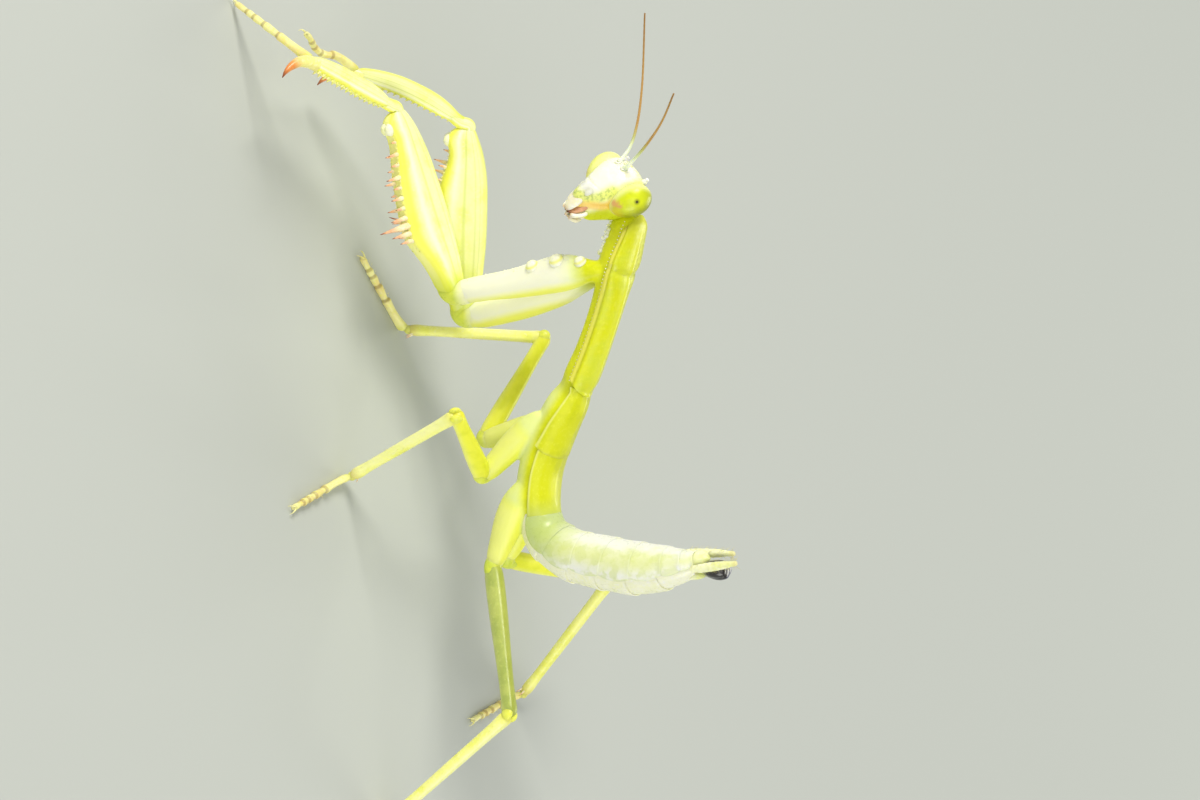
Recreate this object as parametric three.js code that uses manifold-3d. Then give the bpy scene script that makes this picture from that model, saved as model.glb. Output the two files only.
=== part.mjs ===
// A praying mantis nymph, life size, standing on its walking legs with its thorax raised and its abdomen
// curled up. Millimetres, +Z up, the head towards -Y and the animal's left side towards +X.
// The origin is on the floor, under the middle of the whole animal.
import * as THREE from 'three';
import { mergeVertices } from 'three/addons/utils/BufferGeometryUtils.js';
import Module from 'manifold-3d';

const wasm = await Module();
wasm.setup();

// ---------------------------------------------------------------- driving dimensions
const modelCentre = [2.28, -7.97];        // the middle of the animal on the floor, before it is moved to 0, 0
const seamGap = 0.08;                     // between body rings that meet, on each side of the seam
const jointGap = 0.3;                     // between a leg piece, or the neck, and what it is jointed to
const bodySides = 20;                     // facets round the body
const legSides = 10;                      // facets round a leg
const feelerSides = 6;                    // facets round a feeler
const ankleHeight = 0.8;                  // a walking leg's shin ends this high above the floor
const tipHeight = 0.3;                    // the middle of a foot's tip above the floor

// The midline runs from the front of the pronotum to the tail. Each stretch is [length, climb in degrees].
const midlineStart = new THREE.Vector3(0, -22.0, 20.85);
const midlineStretches = [
  [6.3, -21], [6.5, -28],                                 // prothorax
  [3.8, -38], [3.8, -26], [3.8, -2],                      // middle and hind thorax
  [2.6, 47], [2.5, 73], [3.3, 78], [3.2, 90], [2.15, 99], // abdomen
];

// Leg pieces: lengths from joint to joint.
const legLengths = {
  fore: { coxa: 11.4, femur: 14.3, tibia: 8.8, tarsus: 7.4 },
  mid: { coxa: 5.6, femur: 9.0, tibia: 10.0, tarsus: 6.9 },
  hind: { coxa: 5.4, femur: 11.5, tibia: 11.7, tarsus: 6.6 },
};

// Where each leg leaves the body: [X, Y, height]. The two grasping legs swing in their sockets, the left one
// higher and further forward.
const legRoots = {
  fore_left: [1.2, -18.2, 18.0],
  fore_right: [-1.3, -17.4, 17.0],
  mid_left: [1.1, -7.85, 11.8],
  mid_right: [-1.1, -7.85, 11.8],
  hind_left: [1.15, -2.65, 10.4],
  hind_right: [-1.15, -2.65, 10.4],
};

// The stance, in degrees. heading turns from +X towards +Y, rise is up from level. A shin without a rise
// comes down to the ankle, and a foot without a rise comes down to the floor or lies along it.
const stance = {
  fore_left: { coxa: [57.5, -88], femur: [-66.5, 2], tibia: [-22.5, -8], tarsus: [-86, null] },
  fore_right: { coxa: [83.5, -84], femur: [-75.5, 17], tibia: [-42, -40], tarsus: [-18.5, 9] },
  mid_left: { coxa: [91.5, -54.5], femur: [-32, 19], tibia: [92, null], tarsus: [14.5, null] },
  mid_right: { coxa: [96.5, -82.5], femur: [-124, 20.5], tibia: [-18.5, null], tarsus: [-53, null] },
  hind_left: { coxa: [89.5, -34], femur: [68, 14], tibia: [72, null], tarsus: [41.5, null] },
  hind_right: { coxa: [90.5, -39], femur: [166, 11], tibia: [85.5, null], tarsus: [10, null] },
};

// The head's own axes: where its left side and its crown point, and the middle of the line between its eyes.
const headLeft = new THREE.Vector3(0.376, 0.625, 0.682).normalize();
const headCrown = new THREE.Vector3(-0.565, -0.429, 0.705).normalize();
const headMiddle = new THREE.Vector3(0.71, -23.93, 20.76);

// ---------------------------------------------------------------- finishes
function finish(color, roughness) {
  return new THREE.MeshStandardMaterial({ color, roughness, metalness: 0, flatShading: true });
}
const finishes = {
  head: finish(0xc6d33a, 0.4),
  eye: finish(0xa9bb2a, 0.2),
  mouth: finish(0xc98a72, 0.5),
  feeler: finish(0xa98a52, 0.6),
  plate: finish(0xc9d61c, 0.4),
  flank: finish(0xdce27a, 0.45),
  abdomen: finish(0xdbe8a8, 0.4),
  coxa: finish(0xe8edb0, 0.4),
  femur: finish(0xe2e65a, 0.4),
  shin: finish(0xc9d634, 0.45),
  foot: finish(0xb59a55, 0.55),
  tail: finish(0x2b2420, 0.5),
};

const mantis = new THREE.Group();
mantis.position.set(-modelCentre[0], -modelCentre[1], 0);

function addNode(name, geometry, material) {
  const mesh = new THREE.Mesh(geometry, material.clone());
  mesh.name = name;
  mantis.add(mesh);
  return mesh;
}

// ---------------------------------------------------------------- lofted bodies
// A closed body through rings of facets. A station gives the ring's middle, its two cross directions, its
// half-width, how far it rises and drops from the middle, and how square each half is (1 is round).
function loft(stations, sides) {
  const points = [];
  for (const station of stations) {
    const { at, across, over, width, rise, drop = rise, square = 1, squareDrop = square } = station;
    for (let k = 0; k < sides; k += 1) {
      const turn = (2 * Math.PI * k) / sides;
      const corner = Math.sin(turn) > 0 ? square : squareDrop;
      const x = Math.sign(Math.cos(turn)) * Math.abs(Math.cos(turn)) ** (1 / corner);
      const y = Math.sign(Math.sin(turn)) * Math.abs(Math.sin(turn)) ** (1 / corner);
      const reach = y > 0 ? rise : drop;
      points.push(at.clone().addScaledVector(across, width * x).addScaledVector(over, reach * y));
    }
  }
  const firstMiddle = points.push(stations[0].at.clone()) - 1;
  const lastMiddle = points.push(stations.at(-1).at.clone()) - 1;
  const faces = [];
  for (let i = 0; i + 1 < stations.length; i += 1) {
    for (let k = 0; k < sides; k += 1) {
      const a = i * sides + k;
      const b = i * sides + ((k + 1) % sides);
      faces.push([a, b, b + sides], [a, b + sides, a + sides]);
    }
  }
  const lastRing = (stations.length - 1) * sides;
  for (let k = 0; k < sides; k += 1) {
    const next = (k + 1) % sides;
    faces.push([firstMiddle, next, k], [lastMiddle, lastRing + k, lastRing + next]);
  }
  return closedGeometry(points, faces);
}

// Six times the signed volume: positive when the faces point out.
function signedVolume(points, faces) {
  return faces.reduce((sum, [a, b, c]) => sum + points[a].dot(points[b].clone().cross(points[c])), 0);
}

function closedGeometry(points, faces) {
  const outward = signedVolume(points, faces) > 0 ? faces : faces.map(([a, b, c]) => [a, c, b]);
  const geometry = new THREE.BufferGeometry();
  geometry.setAttribute('position', new THREE.Float32BufferAttribute(points.flatMap((p) => p.toArray()), 3));
  geometry.setIndex(outward.flat());
  return geometry;
}

function toSolid(geometry) {
  const bare = new THREE.BufferGeometry();
  bare.setAttribute('position', geometry.getAttribute('position'));
  bare.setIndex(geometry.getIndex());
  const merged = mergeVertices(bare, 1e-4);
  const mesh = new wasm.Mesh({
    numProp: 3,
    vertProperties: new Float32Array(merged.getAttribute('position').array),
    triVerts: new Uint32Array(merged.getIndex().array),
  });
  return new wasm.Manifold(mesh);
}

function toGeometry(solid) {
  const mesh = solid.getMesh();
  const geometry = new THREE.BufferGeometry();
  geometry.setAttribute('position', new THREE.Float32BufferAttribute(mesh.vertProperties, 3));
  geometry.setIndex(Array.from(mesh.triVerts));
  return geometry;
}

function joined(geometries) {
  return toGeometry(geometries.map(toSolid).reduce((whole, next) => whole.add(next)));
}

// What is left of a piece when its neighbours, drawn a little larger, are cut out of it. Only the largest
// lump is kept.
function cutClear(geometry, neighbours) {
  const cutters = neighbours.map(toSolid);
  const lumps = cutters.reduce((rest, cutter) => rest.subtract(cutter), toSolid(geometry)).decompose();
  return toGeometry(lumps.reduce((best, lump) => (lump.volume() > best.volume() ? lump : best)));
}

// A value between the rows of a table whose first column is the place: [place, value, value, ...].
function readTable(table, place) {
  const after = Math.max(1, table.findIndex((row) => row[0] >= place));
  const [low, high] = [table[after - 1], table[after]];
  const part = THREE.MathUtils.clamp((place - low[0]) / (high[0] - low[0]), 0, 1);
  return low.slice(1).map((value, k) => value + (high[k + 1] - value) * part);
}

// ---------------------------------------------------------------- the body along its midline
const midlinePoints = [midlineStart.clone()];
for (const [length, climb] of midlineStretches) {
  const angle = THREE.MathUtils.degToRad(climb);
  const step = new THREE.Vector3(0, Math.cos(angle), Math.sin(angle)).multiplyScalar(length);
  midlinePoints.push(midlinePoints.at(-1).clone().add(step));
}
const midline = new THREE.CatmullRomCurve3(midlinePoints, false, 'centripetal');
midline.arcLengthDivisions = 400;
const midlineLength = midline.getLength();
const acrossBody = new THREE.Vector3(1, 0, 0);

// A station on the body, place millimetres from the front of the pronotum.
function bodyStation(place, lift, sizes) {
  const part = THREE.MathUtils.clamp(place / midlineLength, 0, 1);
  const along = midline.getTangentAt(part);
  const over = new THREE.Vector3().crossVectors(acrossBody, along);
  const at = midline.getPointAt(part).addScaledVector(over, lift);
  return { at, across: acrossBody, over, ...sizes };
}

// The prothorax: [place, half-width, shield's rise over its rim, body's drop under the rim, rim's lift].
const prothoraxTable = [
  [0.0, 0.95, 0.5, 1.4, 0.75],
  [0.6, 1.25, 0.65, 1.65, 0.7],
  [1.8, 1.45, 0.75, 1.7, 0.6],
  [3.4, 1.75, 0.85, 1.5, 0.4],
  [4.6, 1.6, 0.95, 1.3, 0.2],
  [6.0, 1.3, 1.1, 1.0, 0.0],
  [8.0, 1.2, 1.15, 0.9, -0.1],
  [10.5, 1.25, 1.15, 0.95, -0.15],
  [12.2, 1.35, 1.1, 1.1, -0.15],
  [13.1, 1.2, 0.85, 1.1, -0.1],
];
const shieldEdge = 0.12;                  // the thickness of the pronotum's rim
const shieldOverhang = 1.04;              // how much wider than the body the pronotum is
const underShield = 0.25;                 // how far the flesh under the shield rises from its widest line

function pronotum(growth = 0) {
  const stations = prothoraxTable.map(([place, width, rise, , lift]) => {
    const sizes = { width: width * shieldOverhang + growth, rise: rise + growth, drop: shieldEdge + growth };
    return bodyStation(place, lift, sizes);
  });
  return loft(stations, bodySides);
}

function prothoraxUnderside(growth = 0) {
  const stations = prothoraxTable.slice(0, -1).map(([place, width, , drop, lift]) => {
    const below = lift - shieldEdge - seamGap - underShield;
    const sizes = { width: width + growth, rise: underShield + growth, drop: drop - underShield + growth };
    return bodyStation(place, below, sizes);
  });
  return loft(stations, bodySides);
}

// The rings behind it: [place, half-width, rise, drop].
const trunkTable = [
  [13.3, 1.15, 0.8, 1.35],
  [14.4, 1.5, 1.1, 1.7],
  [16.2, 1.75, 1.25, 1.7],
  [18.4, 1.8, 1.2, 1.75],
  [20.4, 1.85, 1.1, 1.85],
  [22.2, 1.75, 1.15, 1.75],
  [23.4, 1.6, 1.35, 1.65],
  [25.2, 1.8, 1.65, 1.7],
  [27.4, 2.05, 1.85, 1.75],
  [30.0, 2.15, 1.9, 1.8],
  [32.6, 2.1, 1.85, 1.75],
  [34.4, 1.8, 1.6, 1.5],
  [35.9, 1.4, 1.2, 1.15],
  [37.2, 0.85, 0.7, 0.7],
];
const ringSteps = 4;                      // lofted steps along each ring

function ring(from, to, growth = 0) {
  const stations = [];
  for (let i = 0; i <= ringSteps; i += 1) {
    const place = THREE.MathUtils.lerp(from + seamGap, to - seamGap, i / ringSteps);
    const [width, rise, drop] = readTable(trunkTable, place).map((size) => size + growth);
    stations.push(bodyStation(place, 0, { width, rise, drop }));
  }
  return loft(stations, bodySides);
}

const thoraxSeams = [13.3, 18.2, 23.2];
const abdomenSeams = [23.2, 25.6, 28.0, 30.4, 32.8, 35.1, 37.2];
addNode('mesothorax', ring(thoraxSeams[0], thoraxSeams[1]), finishes.flank);
addNode('metathorax', ring(thoraxSeams[1], thoraxSeams[2]), finishes.flank);
for (let k = 0; k + 1 < abdomenSeams.length; k += 1) {
  addNode(`abdomen_${k + 1}`, ring(abdomenSeams[k], abdomenSeams[k + 1]), finishes.abdomen);
}
// The rings that the walking legs and the tail's feelers grow out of.
const trunkRings = [thoraxSeams.slice(0, 2), thoraxSeams.slice(1), abdomenSeams.slice(0, 2)];
const tailRing = abdomenSeams.slice(-2);

// ---------------------------------------------------------------- tail
const tailPlace = abdomenSeams.at(-1);
const tailAlong = midline.getTangentAt(tailPlace / midlineLength);
const tailOver = new THREE.Vector3().crossVectors(acrossBody, tailAlong);
const tailEnd = midline.getPointAt(tailPlace / midlineLength);

// A tapered rod between two points. Its table gives [part of the length, half-width, rise towards over,
// drop]. A bow lifts its middle towards over, and a growth makes it that much larger all round.
function rod(from, to, over, table, sides, growth = 0, bow = 0) {
  const along = new THREE.Vector3().subVectors(to, from);
  const across = new THREE.Vector3().crossVectors(along, over).normalize();
  const upright = new THREE.Vector3().crossVectors(across, along).normalize();
  const [start, end] = insetEnds(from, to, -growth);
  const stations = table.map(([part, width, rise, drop = rise]) => ({
    at: start.clone().lerp(end, part).addScaledVector(upright, bow * Math.sin(Math.PI * part)),
    across, over: upright, width: width + growth, rise: rise + growth, drop: drop + growth,
  }));
  return loft(stations, sides);
}

function insetEnds(from, to, gap) {
  const along = new THREE.Vector3().subVectors(to, from).normalize();
  return [from.clone().addScaledVector(along, gap), to.clone().addScaledVector(along, -gap)];
}

// A point by the tail: [to the left, over the midline, past the tail's end].
function byTail([out, lift, past]) {
  return tailEnd.clone().addScaledVector(acrossBody, out).addScaledVector(tailOver, lift)
    .addScaledVector(tailAlong, past);
}

const valveEnds = { root: [0, -0.5, 0.3], tip: [0, -1.5, 2.0] };
const valveTable = [[0, 0.45, 0.35], [0.35, 0.6, 0.55], [0.75, 0.6, 0.6], [1, 0.3, 0.3]];
const valves = rod(byTail(valveEnds.root), byTail(valveEnds.tip), tailOver, valveTable, legSides);
addNode('tail_valves', valves, finishes.tail);

// The tail is turned a little, so its left cercus sits lower and further back than its right one.
const cercusTable = [[0, 0.27, 0.27], [0.3, 0.36, 0.33], [0.7, 0.32, 0.3], [1, 0.25, 0.25]];
const cercusEnds = {
  left: { root: [1.0, -0.4, 0.5], tip: [1.2, -0.88, 3.75] },
  right: { root: [-1.0, 0.95, -0.6], tip: [-1.2, -0.1, 2.5] },
};
for (const [side, { root, tip }] of Object.entries(cercusEnds)) {
  const cercus = rod(byTail(root), byTail(tip), tailOver, cercusTable, legSides);
  addNode(`cercus_${side}`, cutClear(cercus, [ring(...tailRing, jointGap)]), finishes.coxa);
}

// ---------------------------------------------------------------- head
const headFront = new THREE.Vector3().crossVectors(headLeft, headCrown);
const headAxes = new THREE.Matrix4().makeBasis(headLeft, headCrown, headFront).setPosition(headMiddle);
// Everything on the head is made with x to its left, y to its crown and z out of its face.
const headX = new THREE.Vector3(1, 0, 0);
const headY = new THREE.Vector3(0, 1, 0);
const headZ = new THREE.Vector3(0, 0, 1);

// The skull from the mouth up to the crown: [height, half-width, front, back]. The face is domed, and the
// cheeks run straight back to a flat back.
const skullTable = [
  [-3.5, 0.65, 1.3, 0.75],
  [-3.0, 0.85, 1.65, 1.05],
  [-2.2, 1.15, 1.75, 1.45],
  [-1.4, 1.55, 1.75, 1.85],
  [-0.6, 1.9, 1.8, 2.0],
  [0.2, 2.05, 1.75, 1.9],
  [0.9, 1.95, 1.55, 1.5],
  [1.3, 1.6, 1.2, 1.0],
  [1.54, 1.0, 0.7, 0.5],
];
const skullSquare = { face: 1.1, back: 1.8 };
const eyeMiddle = new THREE.Vector3(1.98, -0.05, 0.05);
const eyeSize = new THREE.Vector3(1.08, 1.45, 1.2);
const eyeTilt = 0.22;                     // the eyes lean out at the top, in radians
const eyeGap = 0.1;                       // between an eye and its socket
const headGap = 0.15;                     // between the head and the thorax
const eyeFacets = [12, 9];                // round an eye, and from pole to pole

function skull(growth = 0) {
  const stations = skullTable.map(([height, width, front, back]) => ({
    at: new THREE.Vector3(0, height, 0), across: headX, over: headZ,
    width: width + growth, rise: front + growth, drop: back + growth,
    square: skullSquare.face, squareDrop: skullSquare.back,
  }));
  return loft(stations, bodySides).applyMatrix4(headAxes);
}

function eye(side, growth = 0) {
  const sphere = new THREE.SphereGeometry(1, eyeFacets[0], eyeFacets[1]);
  sphere.deleteAttribute('normal');
  sphere.deleteAttribute('uv');
  sphere.scale(eyeSize.x + growth, eyeSize.y + growth, eyeSize.z + growth);
  sphere.rotateZ(-side * eyeTilt);
  sphere.translate(side * eyeMiddle.x, eyeMiddle.y, eyeMiddle.z);
  return mergeVertices(sphere, 1e-4).applyMatrix4(headAxes);
}

addNode('head', cutClear(skull(), [eye(1, eyeGap), eye(-1, eyeGap)]), finishes.head);
addNode('eye_left', eye(1), finishes.eye);
addNode('eye_right', eye(-1), finishes.eye);

// The lips and palps below the face: [part of the length, half-width, front, back].
const mouthTable = [[0, 0.5, 0.6, 0.8], [0.35, 0.52, 0.6, 0.85], [0.75, 0.4, 0.5, 0.7], [1, 0.25, 0.3, 0.4]];
const mouthFrom = new THREE.Vector3(0, -3.58, 0.3);
const mouthTo = new THREE.Vector3(0, -4.4, 0.35);
const mouth = rod(mouthFrom, mouthTo, headZ, mouthTable, legSides).applyMatrix4(headAxes);
addNode('mouthparts', mouth, finishes.mouth);

const feelerRadius = 0.27;
const feelerGap = 0.1;                    // between a feeler's foot and the face
const feelerSteps = 13;

// A feeler sweeps along a smooth curve through its points.
function feeler(points) {
  const curve = new THREE.CatmullRomCurve3(points, false, 'centripetal');
  const outline = new THREE.Shape();
  for (let k = 0; k < feelerSides; k += 1) {
    const turn = (2 * Math.PI * k) / feelerSides;
    outline[k === 0 ? 'moveTo' : 'lineTo'](feelerRadius * Math.cos(turn), feelerRadius * Math.sin(turn));
  }
  outline.closePath();
  const options = { steps: feelerSteps, bevelEnabled: false, extrudePath: curve };
  const swept = new THREE.ExtrudeGeometry(outline, options);
  swept.deleteAttribute('normal');
  swept.deleteAttribute('uv');
  return mergeVertices(swept, 1e-4);
}

// The sockets on the face, and each feeler's way from its socket, which is not turned with the head.
const feelerSocket = new THREE.Vector3(0.42, 0.7, 1.9);
const feelerPaths = {
  left: [[0.57, -0.35, 1.4], [1.97, -1.2, 3.35], [3.73, -2.27, 5.5], [6.02, -3.8, 7.9]],
  right: [[-0.83, -0.71, 0.61], [-1.59, -2.22, 0.92], [-2.25, -4.72, 1.25], [-2.73, -10.06, 1.87]],
};
for (const [name, side] of [['left', 1], ['right', -1]]) {
  const socket = feelerSocket.clone();
  socket.x *= side;
  socket.applyMatrix4(headAxes);
  const path = feelerPaths[name].map((offset) => socket.clone().add(new THREE.Vector3(...offset)));
  const whole = feeler([socket, ...path]);
  addNode(`antenna_${name}`, cutClear(whole, [skull(feelerGap)]), finishes.feeler);
}

// The front of the thorax is hollowed where the back of the head lies over it.
const headRoom = skull(headGap);
addNode('pronotum', cutClear(pronotum(), [headRoom]), finishes.plate);
addNode('prothorax', cutClear(prothoraxUnderside(), [headRoom]), finishes.flank);

// The neck: a short soft collar between the head's back and the pronotum.
const neckFrom = bodyStation(0, 0, {}).at;
const neckBack = new THREE.Vector3(0, -0.35, -1.7).applyMatrix4(headAxes);
const neckAlong = new THREE.Vector3().subVectors(neckBack, neckFrom);
const neckOver = new THREE.Vector3().crossVectors(acrossBody, neckAlong).negate().normalize();
const neckTable = [[0, 0.8, 0.9], [0.5, 0.75, 0.8], [1, 0.7, 0.7]];
const neckRod = rod(neckFrom, neckBack, neckOver, neckTable, legSides);
const neckNeighbours = [skull(jointGap), prothoraxUnderside(jointGap), pronotum(jointGap)];
addNode('neck', cutClear(neckRod, neckNeighbours), finishes.flank);

// ---------------------------------------------------------------- legs
function direction(heading, rise) {
  const [turn, climb] = [THREE.MathUtils.degToRad(heading), THREE.MathUtils.degToRad(rise)];
  const level = Math.cos(climb);
  return new THREE.Vector3(level * Math.cos(turn), level * Math.sin(turn), Math.sin(climb));
}

// The rise, in degrees, that brings a piece of this length from one height down to another.
function riseTo(fromHeight, toHeight, length) {
  return THREE.MathUtils.radToDeg(Math.asin((toHeight - fromHeight) / length));
}

function legJoints(pair, side) {
  const lengths = legLengths[pair];
  const pose = stance[`${pair}_${side}`];
  const root = new THREE.Vector3(...legRoots[`${pair}_${side}`]);
  const hip = root.clone().addScaledVector(direction(...pose.coxa), lengths.coxa);
  const knee = hip.clone().addScaledVector(direction(...pose.femur), lengths.femur);
  const shinRise = pose.tibia[1] ?? riseTo(knee.z, ankleHeight, lengths.tibia);
  const ankle = knee.clone().addScaledVector(direction(pose.tibia[0], shinRise), lengths.tibia);
  const footRise = pose.tarsus[1] ?? riseTo(ankle.z, tipHeight, lengths.tarsus);
  const tip = ankle.clone().addScaledVector(direction(pose.tarsus[0], footRise), lengths.tarsus);
  return { root, hip, knee, ankle, tip };
}

// Sizes along each leg piece: [part of the length, half-width across the leg's plane, reach on the inner side
// of the bend, reach on the outer side].
const legTables = {
  foreCoxa: [[0, 0.8, 0.9, 0.9], [0.08, 1.1, 1.25, 1.25], [0.25, 1.25, 1.4, 1.45], [0.45, 1.1, 1.3, 1.3],
    [0.65, 1.0, 1.15, 1.15], [0.85, 0.95, 1.0, 1.05], [0.95, 0.85, 0.95, 1.0], [1, 0.6, 0.7, 0.7]],
  foreFemur: [[0, 0.55, 0.6, 0.6], [0.05, 0.8, 1.05, 0.95], [0.12, 0.85, 1.25, 1.1], [0.2, 0.88, 1.6, 1.25],
    [0.28, 0.9, 2.1, 1.35], [0.37, 0.9, 2.6, 1.45], [0.48, 0.88, 2.55, 1.5], [0.6, 0.85, 2.25, 1.5],
    [0.72, 0.8, 1.85, 1.45], [0.82, 0.75, 1.4, 1.25], [0.88, 0.75, 1.3, 1.05], [0.93, 0.75, 1.6, 0.8],
    [0.97, 0.65, 1.35, 0.6], [1, 0.4, 0.8, 0.4]],
  foreTibia: [[0, 0.42, 0.35, 0.35], [0.07, 0.5, 0.45, 0.5], [0.17, 0.52, 0.48, 0.62],
    [0.31, 0.52, 0.55, 0.76], [0.5, 0.5, 0.54, 0.78], [0.67, 0.48, 0.5, 0.8], [0.83, 0.46, 0.54, 0.7],
    [0.95, 0.4, 0.5, 0.5],
    [1, 0.3, 0.35, 0.35]],
  foreTarsus: [[0, 0.28, 0.28], [0.4, 0.34, 0.34], [0.45, 0.28, 0.28], [0.62, 0.33, 0.33], [0.8, 0.3, 0.3],
    [1, 0.26, 0.26]],
  coxa: [[0, 0.85, 0.95, 0.95], [0.15, 1.1, 1.2, 1.2], [0.45, 1.0, 1.1, 1.1], [0.8, 0.78, 0.88, 0.88],
    [0.94, 0.68, 0.78, 0.78], [1, 0.45, 0.5, 0.5]],
  femur: [[0, 0.42, 0.5, 0.5], [0.06, 0.52, 0.64, 0.64], [0.3, 0.52, 0.64, 0.64], [0.7, 0.44, 0.5, 0.5],
    [0.93, 0.48, 0.54, 0.54], [1, 0.34, 0.38, 0.38]],
  tibia: [[0, 0.34, 0.38, 0.38], [0.06, 0.42, 0.46, 0.46], [0.25, 0.38, 0.42, 0.42], [0.7, 0.33, 0.36, 0.36],
    [0.94, 0.38, 0.4, 0.4], [1, 0.3, 0.32, 0.32]],
};
const kneeReach = 0.25;                   // how far the rounded end of a leg piece passes the joint

// The direction square to a line, in the plane that the line makes with another direction.
function squareTo(along, toward) {
  return toward.clone().addScaledVector(along, -toward.dot(along)).normalize();
}

function between(from, to) {
  return new THREE.Vector3().subVectors(to, from).normalize();
}

const thornSides = 5;
const thornRoot = 0.5;                    // how deep a thorn's foot sits in the leg

// A straight thorn with its foot in the leg.
function thorn(foot, toward, length, radius) {
  const cone = new THREE.ConeGeometry(radius, length + thornRoot, thornSides);
  cone.deleteAttribute('normal');
  cone.deleteAttribute('uv');
  cone.translate(0, (length - thornRoot) / 2, 0);
  cone.applyQuaternion(new THREE.Quaternion().setFromUnitVectors(headY, toward.clone().normalize()));
  cone.translate(foot.x, foot.y, foot.z);
  return mergeVertices(cone, 1e-4);
}

// The thorns of the grasping legs, from the knee or towards it: [part of the length, thorn length].
const femurThorns = {
  places: [[0.36, 1.2], [0.39, 1.6], [0.43, 2.3], [0.47, 1.4], [0.53, 1.3], [0.59, 1.1], [0.65, 1.6],
    [0.72, 1.1], [0.78, 1.0]],
  lean: 0.3, radius: 0.22,
};
const tibiaThorns = {
  places: [[0.22, 0.35], [0.34, 0.35], [0.46, 0.35], [0.58, 0.35], [0.7, 0.35], [0.82, 0.35]],
  lean: 0.4, radius: 0.18,
};

function thornRow(from, to, inner, table, thorns) {
  const lean = inner.clone().addScaledVector(between(from, to), thorns.lean);
  return thorns.places.map(([part, length]) => {
    const [, reach] = readTable(table, part);
    const foot = from.clone().lerp(to, part).addScaledVector(inner, reach);
    return thorn(foot, lean, length, thorns.radius);
  });
}

const clawSides = 7;
// The claw at a grasping shin's end is a curved cone: [past the ankle, towards the palm, radius].
const clawCurve = [[-0.6, 0.0, 0.42], [0.15, 0.12, 0.4], [0.75, 0.55, 0.3], [1.15, 1.15, 0.2],
  [1.4, 1.8, 0.06]];

function claw(ankle, along, palm) {
  const across = new THREE.Vector3().crossVectors(along, palm);
  const middles = clawCurve.map(([past, down]) => (
    ankle.clone().addScaledVector(along, past).addScaledVector(palm, down)
  ));
  const stations = clawCurve.map(([, , radius], k) => {
    const heading = between(middles[Math.max(0, k - 1)], middles[Math.min(k + 1, middles.length - 1)]);
    const over = new THREE.Vector3().crossVectors(across, heading);
    return { at: middles[k], across, over, width: radius, rise: radius };
  });
  return loft(stations, clawSides);
}

const shinBow = { left: 0, right: 0.45 }; // how far a grasping shin bows away from its palm
const tarsusSides = 8;
const foreTarsusLift = 0.05;              // a grasping foot leaves the back of its shin, over the claw

function addGraspingLeg(side) {
  const { root, hip, knee, ankle, tip } = legJoints('fore', side);
  const femurAlong = between(hip, knee);
  const tibiaAlong = between(knee, ankle);
  const inner = squareTo(femurAlong, tibiaAlong);
  const palm = squareTo(tibiaAlong, femurAlong).negate();
  const hipEnd = hip.clone().addScaledVector(between(root, hip), kneeReach * 2);
  const coxa = [root, hipEnd, inner, legTables.foreCoxa, legSides];
  const femur = [hip, knee, inner, legTables.foreFemur, legSides];
  const tibia = (growth) => rod(knee, ankle, palm, legTables.foreTibia, legSides, growth, -shinBow[side]);
  const body = [prothoraxUnderside(jointGap), pronotum(jointGap)];
  addNode(`fore_coxa_${side}`, cutClear(rod(...coxa), body), finishes.coxa);

  const bareFemur = cutClear(rod(...femur), [rod(...coxa, jointGap)]);
  const femurRow = thornRow(hip, knee, inner, legTables.foreFemur, femurThorns);
  addNode(`fore_femur_${side}`, joined([bareFemur, ...femurRow]), finishes.femur);

  const bareTibia = cutClear(tibia(0), [rod(...femur, jointGap)]);
  const tibiaRow = thornRow(knee, ankle, palm, legTables.foreTibia, tibiaThorns);
  const wholeTibia = joined([bareTibia, ...tibiaRow, claw(ankle, tibiaAlong, palm)]);
  addNode(`fore_tibia_${side}`, wholeTibia, finishes.shin);

  const start = ankle.clone().addScaledVector(palm, -foreTarsusLift);
  const tarsus = rod(start, tip, inner, legTables.foreTarsus, tarsusSides);
  const shin = [tibia(jointGap), claw(ankle, tibiaAlong, palm)];
  addNode(`fore_tarsus_${side}`, settled(cutClear(tarsus, shin)), finishes.foot);
}

// Lays whatever would reach below the floor flat on it.
function settled(geometry) {
  const position = geometry.getAttribute('position');
  for (let i = 0; i < position.count; i += 1) {
    position.setZ(i, Math.max(0, position.getZ(i)));
  }
  return geometry;
}

// A walking foot lies along the floor: five joints, the first the longest.
// [part of the length, half-width, top of the foot above the floor].
const footTable = [[0, 0.3, 0.78], [0.1, 0.32, 0.82], [0.42, 0.28, 0.62], [0.46, 0.33, 0.66],
  [0.62, 0.28, 0.58], [0.8, 0.3, 0.58], [0.94, 0.26, 0.56], [1, 0.26, 0.52]];
const footSole = 0.6;                     // how high a foot's widest line is, as a part of its half-height

function walkingFoot(from, to) {
  const along = new THREE.Vector3(to.x - from.x, to.y - from.y, 0);
  const upright = new THREE.Vector3(0, 0, 1);
  const across = new THREE.Vector3().crossVectors(upright, along).normalize();
  const stations = footTable.map(([part, width, top]) => ({
    at: new THREE.Vector3(from.x + along.x * part, from.y + along.y * part, top / 2),
    across, over: upright, width, rise: top / 2, drop: top / 2 / footSole,
  }));
  return settled(loft(stations, tarsusSides));
}

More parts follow.
